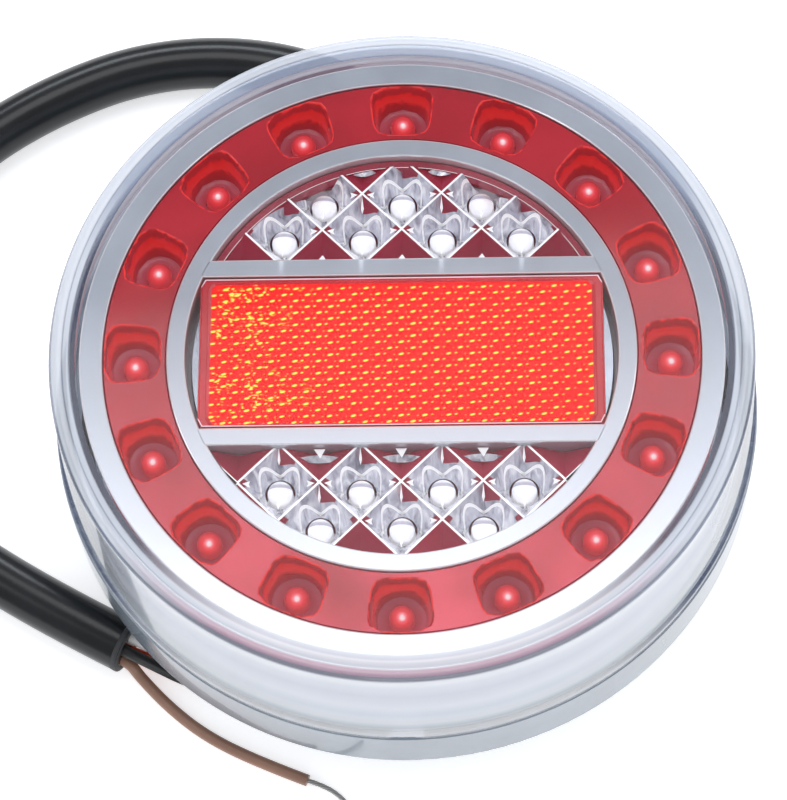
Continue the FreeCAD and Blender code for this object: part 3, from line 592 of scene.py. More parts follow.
silver = {
    "edge": 0.28,
    "outer": 62.3,
    "redOuter": 57.8,
    "redInner": 45.4,
    "bore": 41.8,
    "barInner": 15.9,
    "barOuter": 19.5,
    "wall": 1.2,
    "barOverlap": 0.0004,       # how far a bar's ends reach into the ring
    "paintedPaling": (0.012, -0.050),  # where along Y painted light turns the metal pale
    "streak": 0.35,             # strength of the painted streaks of light on the upper bar
}


def silverMaterial():
    # satin plated plastic: blue-grey, with painted light paling it to lavender-white from the middle towards
    # -Y
    material = plainMaterial("satinSilver", (0.34, 0.37, 0.42), rough=0.36, metal=0.5, spread=0.06, bump=0.10,
                             scale=1600, Coat_Weight=0.15, Coat_Roughness=0.2)
    tree = material.node_tree
    shader = tree.nodes["Principled BSDF"]
    place = tree.nodes.new("ShaderNodeTexCoord")
    spot = tree.nodes.new("ShaderNodeSeparateXYZ")
    tree.links.new(place.outputs["Object"], spot.inputs["Vector"])
    near = share(tree, spot.outputs["Y"], *silver["paintedPaling"])
    base = shader.inputs["Base Color"].links[0].from_socket
    tree.links.new(blendColour(tree, near, base, (0.82, 0.85, 0.92)), shader.inputs["Base Color"])
    # light spilling off the domes next to the bar, as soft pale streaks across it
    wave = calc(tree, "MULTIPLY", calc(tree, "ADD", spot.outputs["X"], optic["pitch"] / 2000),
                1000 * math.tau / optic["pitch"])
    streak = calc(tree, "POWER", calc(tree, "MAXIMUM", calc(tree, "COSINE", wave), 0.0), 40.0)
    inBar = calc(tree, "LESS_THAN", calc(tree, "ABSOLUTE", spot.outputs["X"]), 0.031)
    band = calc(tree, "MULTIPLY", share(tree, spot.outputs["Y"], 0.0155, 0.0195),
                calc(tree, "MULTIPLY", inBar, calc(tree, "LESS_THAN", spot.outputs["Y"], 0.0197)))
    tree.links.new(calc(tree, "MULTIPLY", calc(tree, "MULTIPLY", streak, band), silver["streak"]),
                   shader.inputs["Emission Strength"])
    shader.inputs["Emission Color"].default_value = (0.9, 0.95, 1, 1)
    return material


def makeSilver():
    top = high("inner_frame")[2] * 1000
    footZ = low("inner_frame")[2] * 1000
    thick = (high("outer_bezel")[2] - low("outer_bezel")[2]) * 1000
    finish = silverMaterial()
    # painted highlight: the top bevels and the bore's wall take a pale bright finish
    bright = plainMaterial("paintedEdgeHighlight", (0.92, 0.93, 0.95), rough=0.12, metal=0.5, spread=0.02, bump=0.02)
    mesh = bmesh.new()
    edge = silver["edge"]
    ring = rounded([(silver["redOuter"], top - thick), (silver["outer"], top - thick), (silver["outer"], top),
                    (silver["redOuter"], top)], edge, 2)
    made = spinProfile(mesh, ring, steps=192)
    for face in made:
        flat = face.normal.z
        if 0.2 < abs(flat) < 0.97 and face.calc_center_median().z * 1000 > top - edge:
            face.material_index = 1
    sharpen(mesh, 15)
    bezel = finishMesh("silverRing", mesh, [finish, bright])
    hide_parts("outer_bezel")

    mesh = bmesh.new()
    bore = silver["bore"]
    outline = rounded([(bore, footZ), (bore + silver["wall"], footZ), (bore + silver["wall"], top - thick),
                       (silver["redInner"], top - thick), (silver["redInner"], top), (bore, top)],
                      edge, 2, keep=(2,))
    spinProfile(mesh, outline, steps=192)
    ringSides = list(mesh.faces)
    for sign in (1, -1):
        addBar(mesh, sign, footZ / 1000, top / 1000)
    for face in ringSides:
        middle = face.calc_center_median()
        bevel = 0.2 < abs(face.normal.z) < 0.97 and middle.z * 1000 > top - edge
        inBore = middle.xy.length * 1000 < bore + 0.3 and abs(face.normal.z) < 0.2
        if bevel or inBore:
            face.material_index = 1
    sharpen(mesh, 15)
    inner = finishMesh("silverFrame", mesh, [finish, bright])
    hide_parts("inner_frame")


def addBar(mesh, sign, bottom, top):
    # one cross bar with rounded top edges, its ends reaching into the ring's wall
    near, far, edge = silver["barInner"], silver["barOuter"], silver["edge"] / 1000
    corners = [(near, bottom * 1000), (far, bottom * 1000), (far, top * 1000), (near, top * 1000)]
    profile = [(y / 1000, z / 1000) for y, z in rounded(corners, silver["edge"], 2, keep=(0, 1))]
    steps = 24
    rows = []
    for k in range(steps + 1):
        along = 2 * k / steps - 1
        row = []
        for y, z in profile:
            reach = math.sqrt((silver["bore"] / 1000 + silver["barOverlap"]) ** 2 - y * y)
            row.append(mesh.verts.new((along * reach, sign * y, z)))
        rows.append(row)
    count = len(profile)
    for a, b in zip(rows, rows[1:]):
        for k in range(count):
            face = mesh.faces.new((a[k], a[(k + 1) % count], b[(k + 1) % count], b[k]))
            lowest = min(v.co.z for v in face.verts)
            rise = max(v.co.z for v in face.verts) - lowest
            # faces on the rounded top edges take the painted highlight
            if lowest > top - 1.2 * edge and 1e-5 < rise:
                face.material_index = 1
    mesh.faces.new(rows[0])
    mesh.faces.new(rows[-1])


redRing = {
    "inner": 45.7,
    "outer": 57.5,
    "circle": 52.0,             # radius that the cups stand on
    "count": 16,
    "halfAcross": 5.3,
    "halfRound": 5.8,
    "square": 4.2,              # 2 makes the cups' mouths round, more makes them squarer
    "depth": 8.4,
    "floorRadius": 4.7,
    "lightHole": 2.62,
    "outerFoot": (62.0, 45.4),  # radius and height of the foot outside the cups
    "innerFoot": (43.4, 50.3),  # and inside them
    "paintedPaling": (0.000, -0.052),  # where along Y painted light turns the flat land pale
}


def cupRadius(angle):
    # reach of a cup's rounded-square mouth, in millimetres, at an angle from the outward direction
    n = redRing["square"]
    across = abs(math.cos(angle)) / redRing["halfAcross"]
    along = abs(math.sin(angle)) / redRing["halfRound"]
    return (across ** n + along ** n) ** (-1 / n)


def makeRedRing():
    top = high("red_ring_lens")[2] * 1000
    circle, count = redRing["circle"], redRing["count"]
    inner, outer = redRing["inner"] - circle, redRing["outer"] - circle
    half = math.pi / count * circle
    border = []
    for k in range(6):
        border.append((outer, -half + 2 * half * k / 6))
    for k in range(6):
        border.append((outer + (inner - outer) * k / 6, half))
    for k in range(6):
        border.append((inner, half - 2 * half * k / 6))
    for k in range(6):
        border.append((inner + (outer - inner) * k / 6, -half))
    angles = [math.atan2(v, u) for u, v in border]
    depth = redRing["depth"]
    # share of the way from mouth to floor shape, and depth below the face
    levels = [(0.0, 0.0), (0.03, 0.22), (0.10, 1.0), (0.35, 3.4), (0.75, 6.4), (1.0, depth)]
    mesh = bmesh.new()
    for number in range(count):
        turn = math.tau * number / count + math.pi / 2

        def place(u, v, z, turn=turn):
            r, a = circle + u, turn + v / circle
            return (r * math.cos(a) / 1000, r * math.sin(a) / 1000, z / 1000)

        def mouth(wider):
            reaches = [cupRadius(a) + wider for a in angles]
            return [(reach * math.cos(a), reach * math.sin(a)) for reach, a in zip(reaches, angles)]

        loops = [[mesh.verts.new(place(u, v, top)) for u, v in border]]
        middle = [(0.5 * (u + x), 0.5 * (v + y)) for (u, v), (x, y) in zip(border, mouth(0.35))]
        loops.append([mesh.verts.new(place(u, v, top)) for u, v in middle])
        loops.append([mesh.verts.new(place(u, v, top)) for u, v in mouth(0.3)])
        for part, down in levels:
            row = []
            for a in angles:
                reach = (1 - part) * cupRadius(a) + part * redRing["floorRadius"]
                row.append(mesh.verts.new(place(reach * math.cos(a), reach * math.sin(a), top - down - 0.12)))
            loops.append(row)
        for reach, down in ((redRing["floorRadius"] - 0.5, depth + 0.3), (redRing["lightHole"], depth + 0.3),
                            (redRing["lightHole"], depth + 1.4)):
            spots = [(reach * math.cos(a), reach * math.sin(a)) for a in angles]
            loops.append([mesh.verts.new(place(u, v, top - down)) for u, v in spots])
        for level, (a, b) in enumerate(zip(loops, loops[1:])):
            for k in range(len(angles)):
                nxt = (k + 1) % len(angles)
                face = mesh.faces.new((a[k], a[nxt], b[nxt], b[k]))
                face.material_index = 0 if level < 2 else (1 if level < 8 else 2)
    # outer and inner edges, with the shoulders under the silver rings
    shoulder = low("outer_bezel")[2] * 1000
    for radius, (edge, foot) in ((redRing["outer"], redRing["outerFoot"]),
                                 (redRing["inner"], redRing["innerFoot"])):
        spinProfile(mesh, [(radius, top), (radius, shoulder - 0.02), (edge, shoulder - 0.02), (edge, foot)],
                    steps=96, closed=False, material=3)
    bmesh.ops.remove_doubles(mesh, verts=mesh.verts, dist=2e-6)
    for edge in mesh.edges:
        if len({face.material_index for face in edge.link_faces}) > 1:
            edge.smooth = False
    land = redMaterial("redLens", (0.42, 0.012, 0.026), 0.10, glow=0.07)
    # painted light: the flat land pales towards -Y in soft clouds
    paintedPaleNear(land, (0.82, 0.075, 0.12), *redRing["paintedPaling"])
    wall = cupMaterial(top / 1000, (top - depth) / 1000)
    cupFloor = redMaterial("redCupFloor", (0.42, 0.085, 0.13), 0.2, glow=0.13)
    side = redMaterial("redSide", (0.48, 0.02, 0.06), 0.25, glow=0.05)
    ring = finishMesh("redRing", mesh, [land, wall, cupFloor, side])
    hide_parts("red_ring_lens")


def cupMaterial(top, bottom):
    # painted light: a cup's wall is deep red by its mouth with a painted bright line at the very rim, a
    # painted band of light half way down, painted shade at its foot and a painted glow
    material, tree, shader = newMaterial("redCup")
    place = tree.nodes.new("ShaderNodeTexCoord")
    spot = tree.nodes.new("ShaderNodeSeparateXYZ")
    ripple = addNode(tree, "ShaderNodeTexNoise", Scale=420.0, Detail=2.0, Distortion=1.2)
    tree.links.new(place.outputs["Object"], spot.inputs["Vector"])
    tree.links.new(place.outputs["Object"], ripple.inputs["Vector"])
    down = share(tree, spot.outputs["Z"], top, bottom)
    swing = calc(tree, "SUBTRACT", ripple.outputs["Fac"], 0.5)
    wavy = calc(tree, "ADD", down, calc(tree, "MULTIPLY", swing, 0.34))
    tone = ramp(tree, wavy, [
        (0.0, (0.90, 0.05, 0.05)), (0.05, (0.46, 0.012, 0.02)), (0.24, (0.40, 0.010, 0.02)),
        (0.36, (0.82, 0.02, 0.02)), (0.62, (0.88, 0.04, 0.04)), (0.76, (0.50, 0.010, 0.018)),
        (1.0, (0.42, 0.02, 0.03)),
    ])
    tree.links.new(tone.outputs["Color"], shader.inputs["Base Color"])
    tree.links.new(tone.outputs["Color"], shader.inputs["Emission Color"])
    relief = addNode(tree, "ShaderNodeBump", Strength=0.35, Distance=0.0004)
    tree.links.new(ripple.outputs["Fac"], relief.inputs["Height"])
    tree.links.new(relief.outputs["Normal"], shader.inputs["Normal"])
    shader.inputs["Emission Strength"].default_value = 0.16
    shader.inputs["Roughness"].default_value = 0.12
    shader.inputs["Coat Weight"].default_value = 0.6
    return material


def paintedPaleNear(material, colour, start, end):
    # painted light: blend a material's colour towards another between two places along Y
    tree = material.node_tree
    shader = tree.nodes["Principled BSDF"]
    place = tree.nodes.new("ShaderNodeTexCoord")
    spot = tree.nodes.new("ShaderNodeSeparateXYZ")
    cloud = addNode(tree, "ShaderNodeTexNoise", Scale=55.0, Detail=2.0)
    tree.links.new(place.outputs["Object"], spot.inputs["Vector"])
    tree.links.new(place.outputs["Object"], cloud.inputs["Vector"])
    near = share(tree, spot.outputs["Y"], start, end)
    soft = calc(tree, "MULTIPLY", near, share(tree, cloud.outputs["Fac"], 0.25, 0.6))
    base = shader.inputs["Base Color"].links[0].from_socket
    tree.links.new(blendColour(tree, soft, base, colour), shader.inputs["Base Color"])


def redMaterial(name, colour, rough, glow):
    # coloured clear plastic: deep colour that shifts slightly, a clear gloss and a painted glow standing for
    # light carried inside it
    return plainMaterial(name, colour, rough=rough, spread=0.16, bump=0.05, scale=500, Coat_Weight=0.15,
                         Coat_Roughness=0.04, Specular_IOR_Level=0.3, Emission_Strength=glow,
                         Emission_Color=(min(1, colour[0] * 2), colour[1], colour[2], 1))


optic = {
    "pitch": 15.6,
    "rowNear": 26.6,
    "rowStep": 7.8,
    "ridge": 51.9,
    "ridgeHalf": 0.2,
    "steep": 2.2,               # fall of a lit cell's walls
    "blankSteep": 0.75,         # and of a blank one's
    "foot": 45.4,
    "lobe": 4.1,
    "lobeSwing": 0.5,
    "hole": 2.9,
    "limit": (40.3, 41.45),     # reach of the upper and of the lower window
    "border": 41.5,
    "edge": 19.6,
}


def litPlaces(sign):
    near = [(optic["pitch"] * step, sign * optic["rowNear"]) for step in (-1.5, -0.5, 0.5, 1.5)]
    far = [(optic["pitch"] * step, sign * (optic["rowNear"] + optic["rowStep"])) for step in (-1, 0, 1)]
    return near + far


def blankPlaces(sign):
    step, first = optic["rowStep"], optic["rowNear"]
    inner = [(optic["pitch"] * k, sign * (first - step)) for k in (-2, -1, 0, 1, 2)]
    outer = [(optic["pitch"] * k, sign * (first + 2 * step)) for k in (-1.5, -0.5, 0.5, 1.5)]
    ends = [(optic["pitch"] * k, sign * (first + step)) for k in (-2, 2)]
    return inner + outer + ends


def addCell(mesh, across, up, lit):
    # one square cell of the optic: a ridge round it, four sloping walls and a lobed well for its light
    steps = 48
    side = optic["pitch"] / 2
    depth = optic["ridge"] - optic["foot"]
    slope = optic["steep"] if lit else optic["blankSteep"]

    def wallHeight(x, y):
        inward = (side - abs(x) - abs(y)) / math.sqrt(2) - optic["ridgeHalf"]
        return optic["ridge"] - min(depth, max(0, inward) * slope)

    angles = [math.tau * k / steps for k in range(steps)]
    loops = []

    def addLoop(reach, height=None, drop=0.0):
        row = []
        for a in angles:
            r = reach(a)
            x, y = r * math.cos(a), r * math.sin(a)
            z = (wallHeight(x, y) if height is None else height) - drop
            row.append(mesh.verts.new(((across + x) / 1000, (up + y) / 1000, z / 1000)))
        loops.append(row)

    def border(a):
        return side / (abs(math.cos(a)) + abs(math.sin(a)))

    def ridgeIn(a):
        return (side - math.sqrt(2) * optic["ridgeHalf"]) / (abs(math.cos(a)) + abs(math.sin(a)))

    def lobed(a):
        return optic["lobe"] - optic["lobeSwing"] * math.cos(4 * a)

    addLoop(border)
    addLoop(ridgeIn)
    if lit:
        for part in (0.3, 0.65):
            addLoop(lambda a, part=part: ridgeIn(a) * (1 - part) + (lobed(a) + 0.18) * part)
        addLoop(lambda a: lobed(a) + 0.18)
        addLoop(lambda a: lobed(a), drop=0.10)
        addLoop(lambda a: lobed(a) - 0.16, drop=0.45)
        addLoop(lambda a: 0.4 * lobed(a) + 0.6 * optic["hole"], height=optic["foot"] + 0.7)
        addLoop(lambda a: optic["hole"], height=optic["foot"] + 0.1)
        kinds = [1, 0, 0, 0, 1, 1, 0, 0]
    else:
        for part in (0.25, 0.5, 0.75, 0.97):
            addLoop(lambda a, part=part: ridgeIn(a) * (1 - part))
        # painted reflection: a blank cell's walls and floor are maroon
        kinds = [1, 2, 2, 2, 2]
    for level, (a, b) in enumerate(zip(loops, loops[1:])):
        for k in range(steps):
            nxt = (k + 1) % steps
            face = mesh.faces.new((a[k], a[nxt], b[nxt], b[k]))
            kind = kinds[level]
            degrees = math.degrees(angles[k] + math.pi / steps)
            # painted reflection: wall facets facing some ways round the well turn maroon
            if lit and level in (1, 2) and 52 < degrees < 90:
                kind = 2
            if lit and level == 1 and (degrees < 8 or degrees > 352 or 172 < degrees < 188):
                kind = 2
            face.material_index = kind
            face.smooth = level > 3 and lit
    if not lit:
        mesh.faces.new(loops[-1]).material_index = 2


def facetMaterial():
    # clear plastic over the plated tray: pale streaks and darker folds, slightly lavender
    material, tree, shader = newMaterial("opticWall")
    place = tree.nodes.new("ShaderNodeTexCoord")
    stretch = addNode(tree, "ShaderNodeMapping", Scale=(1.0, 0.45, 0.25))
    streak = addNode(tree, "ShaderNodeTexNoise", Scale=520.0, Detail=2.0, Distortion=1.6)
    tree.links.new(place.outputs["Object"], stretch.inputs["Vector"])
    tree.links.new(stretch.outputs["Vector"], streak.inputs["Vector"])
    tone = ramp(tree, streak.outputs["Fac"], [(0.30, (0.30, 0.29, 0.35)), (0.44, (0.62, 0.62, 0.70)),
                                              (0.55, (0.74, 0.75, 0.83)), (0.64, (0.97, 0.97, 1.0))])
    tree.links.new(tone.outputs["Color"], shader.inputs["Base Color"])
    relief = addNode(tree, "ShaderNodeBump", Strength=0.5, Distance=0.0004)
    tree.links.new(streak.outputs["Fac"], relief.inputs["Height"])
    tree.links.new(relief.outputs["Normal"], shader.inputs["Normal"])
    shader.inputs["Roughness"].default_value = 0.12
    shader.inputs["Metallic"].default_value = 0.35
    shader.inputs["Coat Weight"].default_value = 0.7
    shader.inputs["Coat Roughness"].default_value = 0.04
    return material


def addBorder(mesh, limit):
    # sloping strip between the cells and the silver ring along the upper window's arc
    ridge = optic["ridge"]
    strip = [(limit - 0.05, ridge - 3.0, 2), (limit - 0.05, ridge - 0.5, 1), (limit + 0.05, ridge - 0.5, 2),
             (optic["border"] - 0.05, ridge - 0.2, 2), (optic["border"] - 0.05, optic["foot"], 2)]
    reach = math.asin(optic["edge"] / limit)
    steps = 72
    rows = []
    for k in range(steps + 1):
        angle = reach + (math.pi - 2 * reach) * k / steps
        rows.append([mesh.verts.new((r * math.cos(angle) / 1000, r * math.sin(angle) / 1000, z / 1000))
                     for r, z, kind in strip])
    for a, b in zip(rows, rows[1:]):
        for k in range(len(strip) - 1):
            face = mesh.faces.new((a[k], b[k], b[k + 1], a[k + 1]))
            face.material_index = strip[k][2]


def clipWindow(mesh, sign, reach):
    # trim to the window: one straight side and an arc, as many short straight cuts
    geometry = mesh.verts[:] + mesh.edges[:] + mesh.faces[:]
    bmesh.ops.bisect_plane(mesh, geom=geometry, plane_co=(0, sign * optic["edge"] / 1000, 0),
                           plane_no=(0, -sign, 0), clear_outer=True)
    for k in range(49):
        angle = sign * math.radians(22 + 136 * k / 48)
        normal = Vector((math.cos(angle), math.sin(angle), 0))
        geometry = mesh.verts[:] + mesh.edges[:] + mesh.faces[:]
        bmesh.ops.bisect_plane(mesh, geom=geometry, plane_co=normal * reach / 1000, plane_no=normal,
                               clear_outer=True)


def addSliver(mesh, a, b, c, kind=1):
    face = mesh.faces.new([mesh.verts.new((x / 1000, y / 1000, z / 1000)) for x, y, z in (a, b, c)])
    face.material_index = kind


def addFoldHighlights(mesh, sign, limit):
    # painted highlights: small bright slivers where the optic's folds catch the light, a link above and below
    # every light, and a glint at the foot of each blank half cell
    top = optic["ridge"]
    for across, up in litPlaces(sign):
        if math.hypot(across, up + 7.2) < limit:
            for way in (1, -1):
                addSliver(mesh, (across, up + 7.2, top - 0.2), (across, up + 4.0, top - 1.5),
                          (across + way * 0.28, up + 5.0, top - 1.2))
        for way in (1, -1) if math.hypot(across, up - 5.2) < limit else ():
            addSliver(mesh, (across, up - 3.1, top - 1.5), (across + way * 0.35, up - 4.0, top - 1.4),
                      (across, up - 5.2, top - 1.2))
            for tilt in (1, -1) if math.hypot(across + way * 6.9, up) < limit else ():
                addSliver(mesh, (across + way * 6.9, up, top - 0.5),
                          (across + way * 5.4, up + tilt * 0.7, top - 0.9),
                          (across + way * 5.7, up - tilt * 0.1, top - 0.8))
    for across in (optic["pitch"] * k for k in (-1, 0, 1)):
        line = sign * (optic["edge"] + 0.15)
        addSliver(mesh, (across - 1.1, line, top - 0.4), (across + 1.1, line, top - 0.4),
                  (across + 0.1, line + sign * 1.7, top - 0.8))
    # painted highlights: pale leaf facets in the blank cells, by the bar in the lower window, under the ring
    # in the upper one
    if sign < 0:
        places, half = [(optic["pitch"] * k, -21.6) for k in (-1, 0, 1)], 4.6
    else:
        places, half = [(7.8 * k, 39.4) for k in (-1, 1)], 2.6
    for across, up in places:
        previous = None
        for k in range(13):
            t = 2 * k / 12 - 1
            pair = ((across + t * half, up + 0.75 * (1 - t * t), top - 0.7),
                    (across + t * half, up - 0.75 * (1 - t * t), top - 1.1))
            if previous:
                for corners in ((previous[0], pair[0], pair[1]), (previous[0], pair[1], previous[1])):
                    one, two, three = (Vector(corner) for corner in corners)
                    if (one - three).length > 0.02 and (one - two).length > 0.02:
                        addSliver(mesh, *corners, 0)
            previous = pair


def makeWindows():
    plated = facetMaterial()
    # painted highlight: the ridges and bright slivers are near white with a painted glow
    ridge = plainMaterial("opticRidgeHighlight", (0.97, 0.97, 0.98), rough=0.12, spread=0.02, bump=0.02,
                          Coat_Weight=1.0, Emission_Color=(1, 1, 1, 1), Emission_Strength=0.25)
    # painted reflection: maroon facets stand for the red board seen in the clear optic, with a painted glow
    maroon = redMaterial("opticMaroon", (0.30, 0.022, 0.05), 0.2, glow=0.10)
    for label, sign in (("upper", 1), ("lower", -1)):
        mesh = bmesh.new()
        for across, up in litPlaces(sign):
            addCell(mesh, across, up, True)
        for across, up in blankPlaces(sign):
            addCell(mesh, across, up, False)
        bmesh.ops.remove_doubles(mesh, verts=mesh.verts, dist=3e-6)
        limit = optic["limit"][0 if sign > 0 else 1]
        clipWindow(mesh, sign, limit)
        if sign > 0:
            addBorder(mesh, limit)
        addFoldHighlights(mesh, sign, limit)
        piece = finishMesh(label + "WindowOptic", mesh, [plated, ridge, maroon], smooth=False)
        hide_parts(label + "_window_optic")


light = {
    "radius": 2.5,
    "lip": 2.9,
    "lipHigh": 1.0,
    "base": 39.6,
    "top": 48.2,
    "highlightSlope": (0.05, -0.30, 0.95),   # slope of the dome where the painted highlight sits
}


def addLight(mesh, across, up, turn=0.0):
    # a domed light: a lip with a flat side, a stem and a dome
    r, base, top = light["radius"], light["base"], light["top"]
    outline = [(0.0, top), (0.9, top - 0.17), (1.6, top - 0.58), (2.1, top - 1.15), (2.4, top - 1.85),
               (r, top - 2.5),
               (r, base + light["lipHigh"] + 0.1), (light["lip"] - 0.1, base + light["lipHigh"]),
               (light["lip"], base + light["lipHigh"] - 0.1), (light["lip"], base)]
    steps = 24
    rows = []
    for radius, z in outline[1:]:
        row = []
        for k in range(steps):
            a = math.tau * k / steps
            x, y = radius * math.cos(a), radius * math.sin(a)
            if radius > r + 0.2:
                x = min(x, r + 0.05)
            row.append(mesh.verts.new(((across + x * math.cos(turn) - y * math.sin(turn)) / 1000,
                                       (up + x * math.sin(turn) + y * math.cos(turn)) / 1000, z / 1000)))
        rows.append(row)
    tip = mesh.verts.new((across / 1000, up / 1000, outline[0][1] / 1000))
    for k in range(steps):
        mesh.faces.new((tip, rows[0][k], rows[0][(k + 1) % steps]))
    for a, b in zip(rows, rows[1:]):
        for k in range(steps):
            mesh.faces.new((a[k], b[k], b[(k + 1) % steps], a[(k + 1) % steps]))
    mesh.faces.new(rows[-1])


def whiteLightMaterial():
    # bright water-clear dome with a painted white glow, a painted grey arc of shade on its +Y side and a
    # painted highlight at its +Y rim
    material, tree, shader = newMaterial("whiteLight")
    place = tree.nodes.new("ShaderNodeTexCoord")
    split = tree.nodes.new("ShaderNodeSeparateXYZ")
    tree.links.new(place.outputs["Normal"], split.inputs["Vector"])
    tone = ramp(tree, split.outputs["Y"], [(0.0, (0.95, 0.95, 0.98)), (0.10, (0.98, 0.98, 1)),
                                           (0.22, (0.45, 0.44, 0.52)), (0.45, (0.55, 0.54, 0.62)),
                                           (0.62, (0.95, 0.95, 0.98))])
    tree.links.new(tone.outputs["Color"], shader.inputs["Base Color"])
    tree.links.new(tone.outputs["Color"], shader.inputs["Emission Color"])
    shader.inputs["Emission Strength"].default_value = 0.45
    shader.inputs["Roughness"].default_value = 0.08
    shader.inputs["Coat Weight"].default_value = 1.0
    return material


def glowMaterial():
    # red dome with a painted glow and a painted highlight, set off the dome's axis towards -Y
    material, tree, shader = newMaterial("redLight")
    place = tree.nodes.new("ShaderNodeTexCoord")
    spot = addNode(tree, "ShaderNodeVectorMath", operation="DOT_PRODUCT")
    spot.inputs[1].default_value = light["highlightSlope"]
    tree.links.new(place.outputs["Normal"], spot.inputs[0])
    tone = ramp(tree, spot.outputs["Value"], [(0.55, (0.62, 0.05, 0.07)), (0.86, (0.80, 0.07, 0.09)),
                                              (0.955, (0.92, 0.18, 0.22)), (0.983, (1.0, 0.66, 0.70)),
                                              (0.996, (1.0, 0.97, 0.97))])
    tree.links.new(tone.outputs["Color"], shader.inputs["Base Color"])
    tree.links.new(tone.outputs["Color"], shader.inputs["Emission Color"])
    shader.inputs["Emission Strength"].default_value = 0.30
    shader.inputs["Roughness"].default_value = 0.08
    shader.inputs["Coat Weight"].default_value = 1.0
    return material


def makeDomes():
    red = glowMaterial()
    mesh = bmesh.new()
    for k in range(redRing["count"]):
        a = math.tau * k / redRing["count"]
        addLight(mesh, redRing["circle"] * math.cos(a), redRing["circle"] * math.sin(a), a)
    piece = finishMesh("ringLights", mesh, [red])
    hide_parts("ring_lights")
    white = whiteLightMaterial()
    for label, sign in (("upper", 1), ("lower", -1)):
        mesh = bmesh.new()
        for across, up in litPlaces(sign):
            addLight(mesh, across, up, math.pi / 2)
        piece = finishMesh(label + "WindowLights", mesh, [white])
        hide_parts(label + "_window_lights")


reflector = {
    "half": 39.1,
    "high": 15.6,
    "pitch": 4.56,
    "row": 1.28,
    "dash": 0.66,
    "dashHigh": 0.30,
    "lean": 0.2,                # tilt of the dashes
    "clusters": (-0.014, -0.030),   # where along X the loose clusters of glints set in
}


def prismGroup():
    # slanted lattice of prism glints: object coordinates in, a glint mask and a relief out
    group = bpy.data.node_groups.new("prismField", "ShaderNodeTree")
    group.interface.new_socket("Glint", in_out="OUTPUT", socket_type="NodeSocketFloat")
    group.interface.new_socket("Relief", in_out="OUTPUT", socket_type="NodeSocketFloat")
    end = group.nodes.new("NodeGroupOutput")
    place = group.nodes.new("ShaderNodeTexCoord")
    split = group.nodes.new("ShaderNodeSeparateXYZ")
    group.links.new(place.outputs["Object"], split.inputs["Vector"])

    x = calc(group, "MULTIPLY", split.outputs["X"], 1000.0)
    y = calc(group, "MULTIPLY", split.outputs["Y"], 1000.0)
    row = calc(group, "DIVIDE", y, reflector["row"])
    rowNumber = calc(group, "FLOOR", row)
    column = calc(group, "ADD", calc(group, "DIVIDE", x, reflector["pitch"]),
                  calc(group, "MULTIPLY", rowNumber, 0.5))
    u, v = (calc(group, "MULTIPLY", calc(group, "SUBTRACT", calc(group, "FRACT", cell), 0.5), reflector[step])
            for cell, step in ((column, "pitch"), (row, "row")))

    def dash(shiftX, shiftY, half, tall):
        # a short soft dash, tilted up to the right
        across = calc(group, "SUBTRACT", u, shiftX)
        lean = calc(group, "SUBTRACT", calc(group, "SUBTRACT", v, shiftY),
                    calc(group, "MULTIPLY", across, reflector["lean"]))
        wide = calc(group, "POWER", calc(group, "DIVIDE", calc(group, "ABSOLUTE", across), half), 2.0)
        thick = calc(group, "POWER", calc(group, "DIVIDE", calc(group, "ABSOLUTE", lean), tall), 2.0)
        return calc(group, "MAXIMUM", calc(group, "SUBTRACT", 1.0, calc(group, "ADD", wide, thick)), 0.0)

    main = dash(0.0, 0.0, reflector["dash"], reflector["dashHigh"])
    small = dash(1.4, 0.12, 0.40, 0.22)
    tiny = dash(-1.35, -0.1, 0.30, 0.17)
    both = calc(group, "ADD", main, calc(group, "MULTIPLY", small, 0.6))
    group.links.new(calc(group, "ADD", both, calc(group, "MULTIPLY", tiny, 0.35)), end.inputs["Glint"])
    slopes = calc(group, "ADD", calc(group, "ABSOLUTE", u), calc(group, "ABSOLUTE", v))
    group.links.new(slopes, end.inputs["Relief"])
    return group


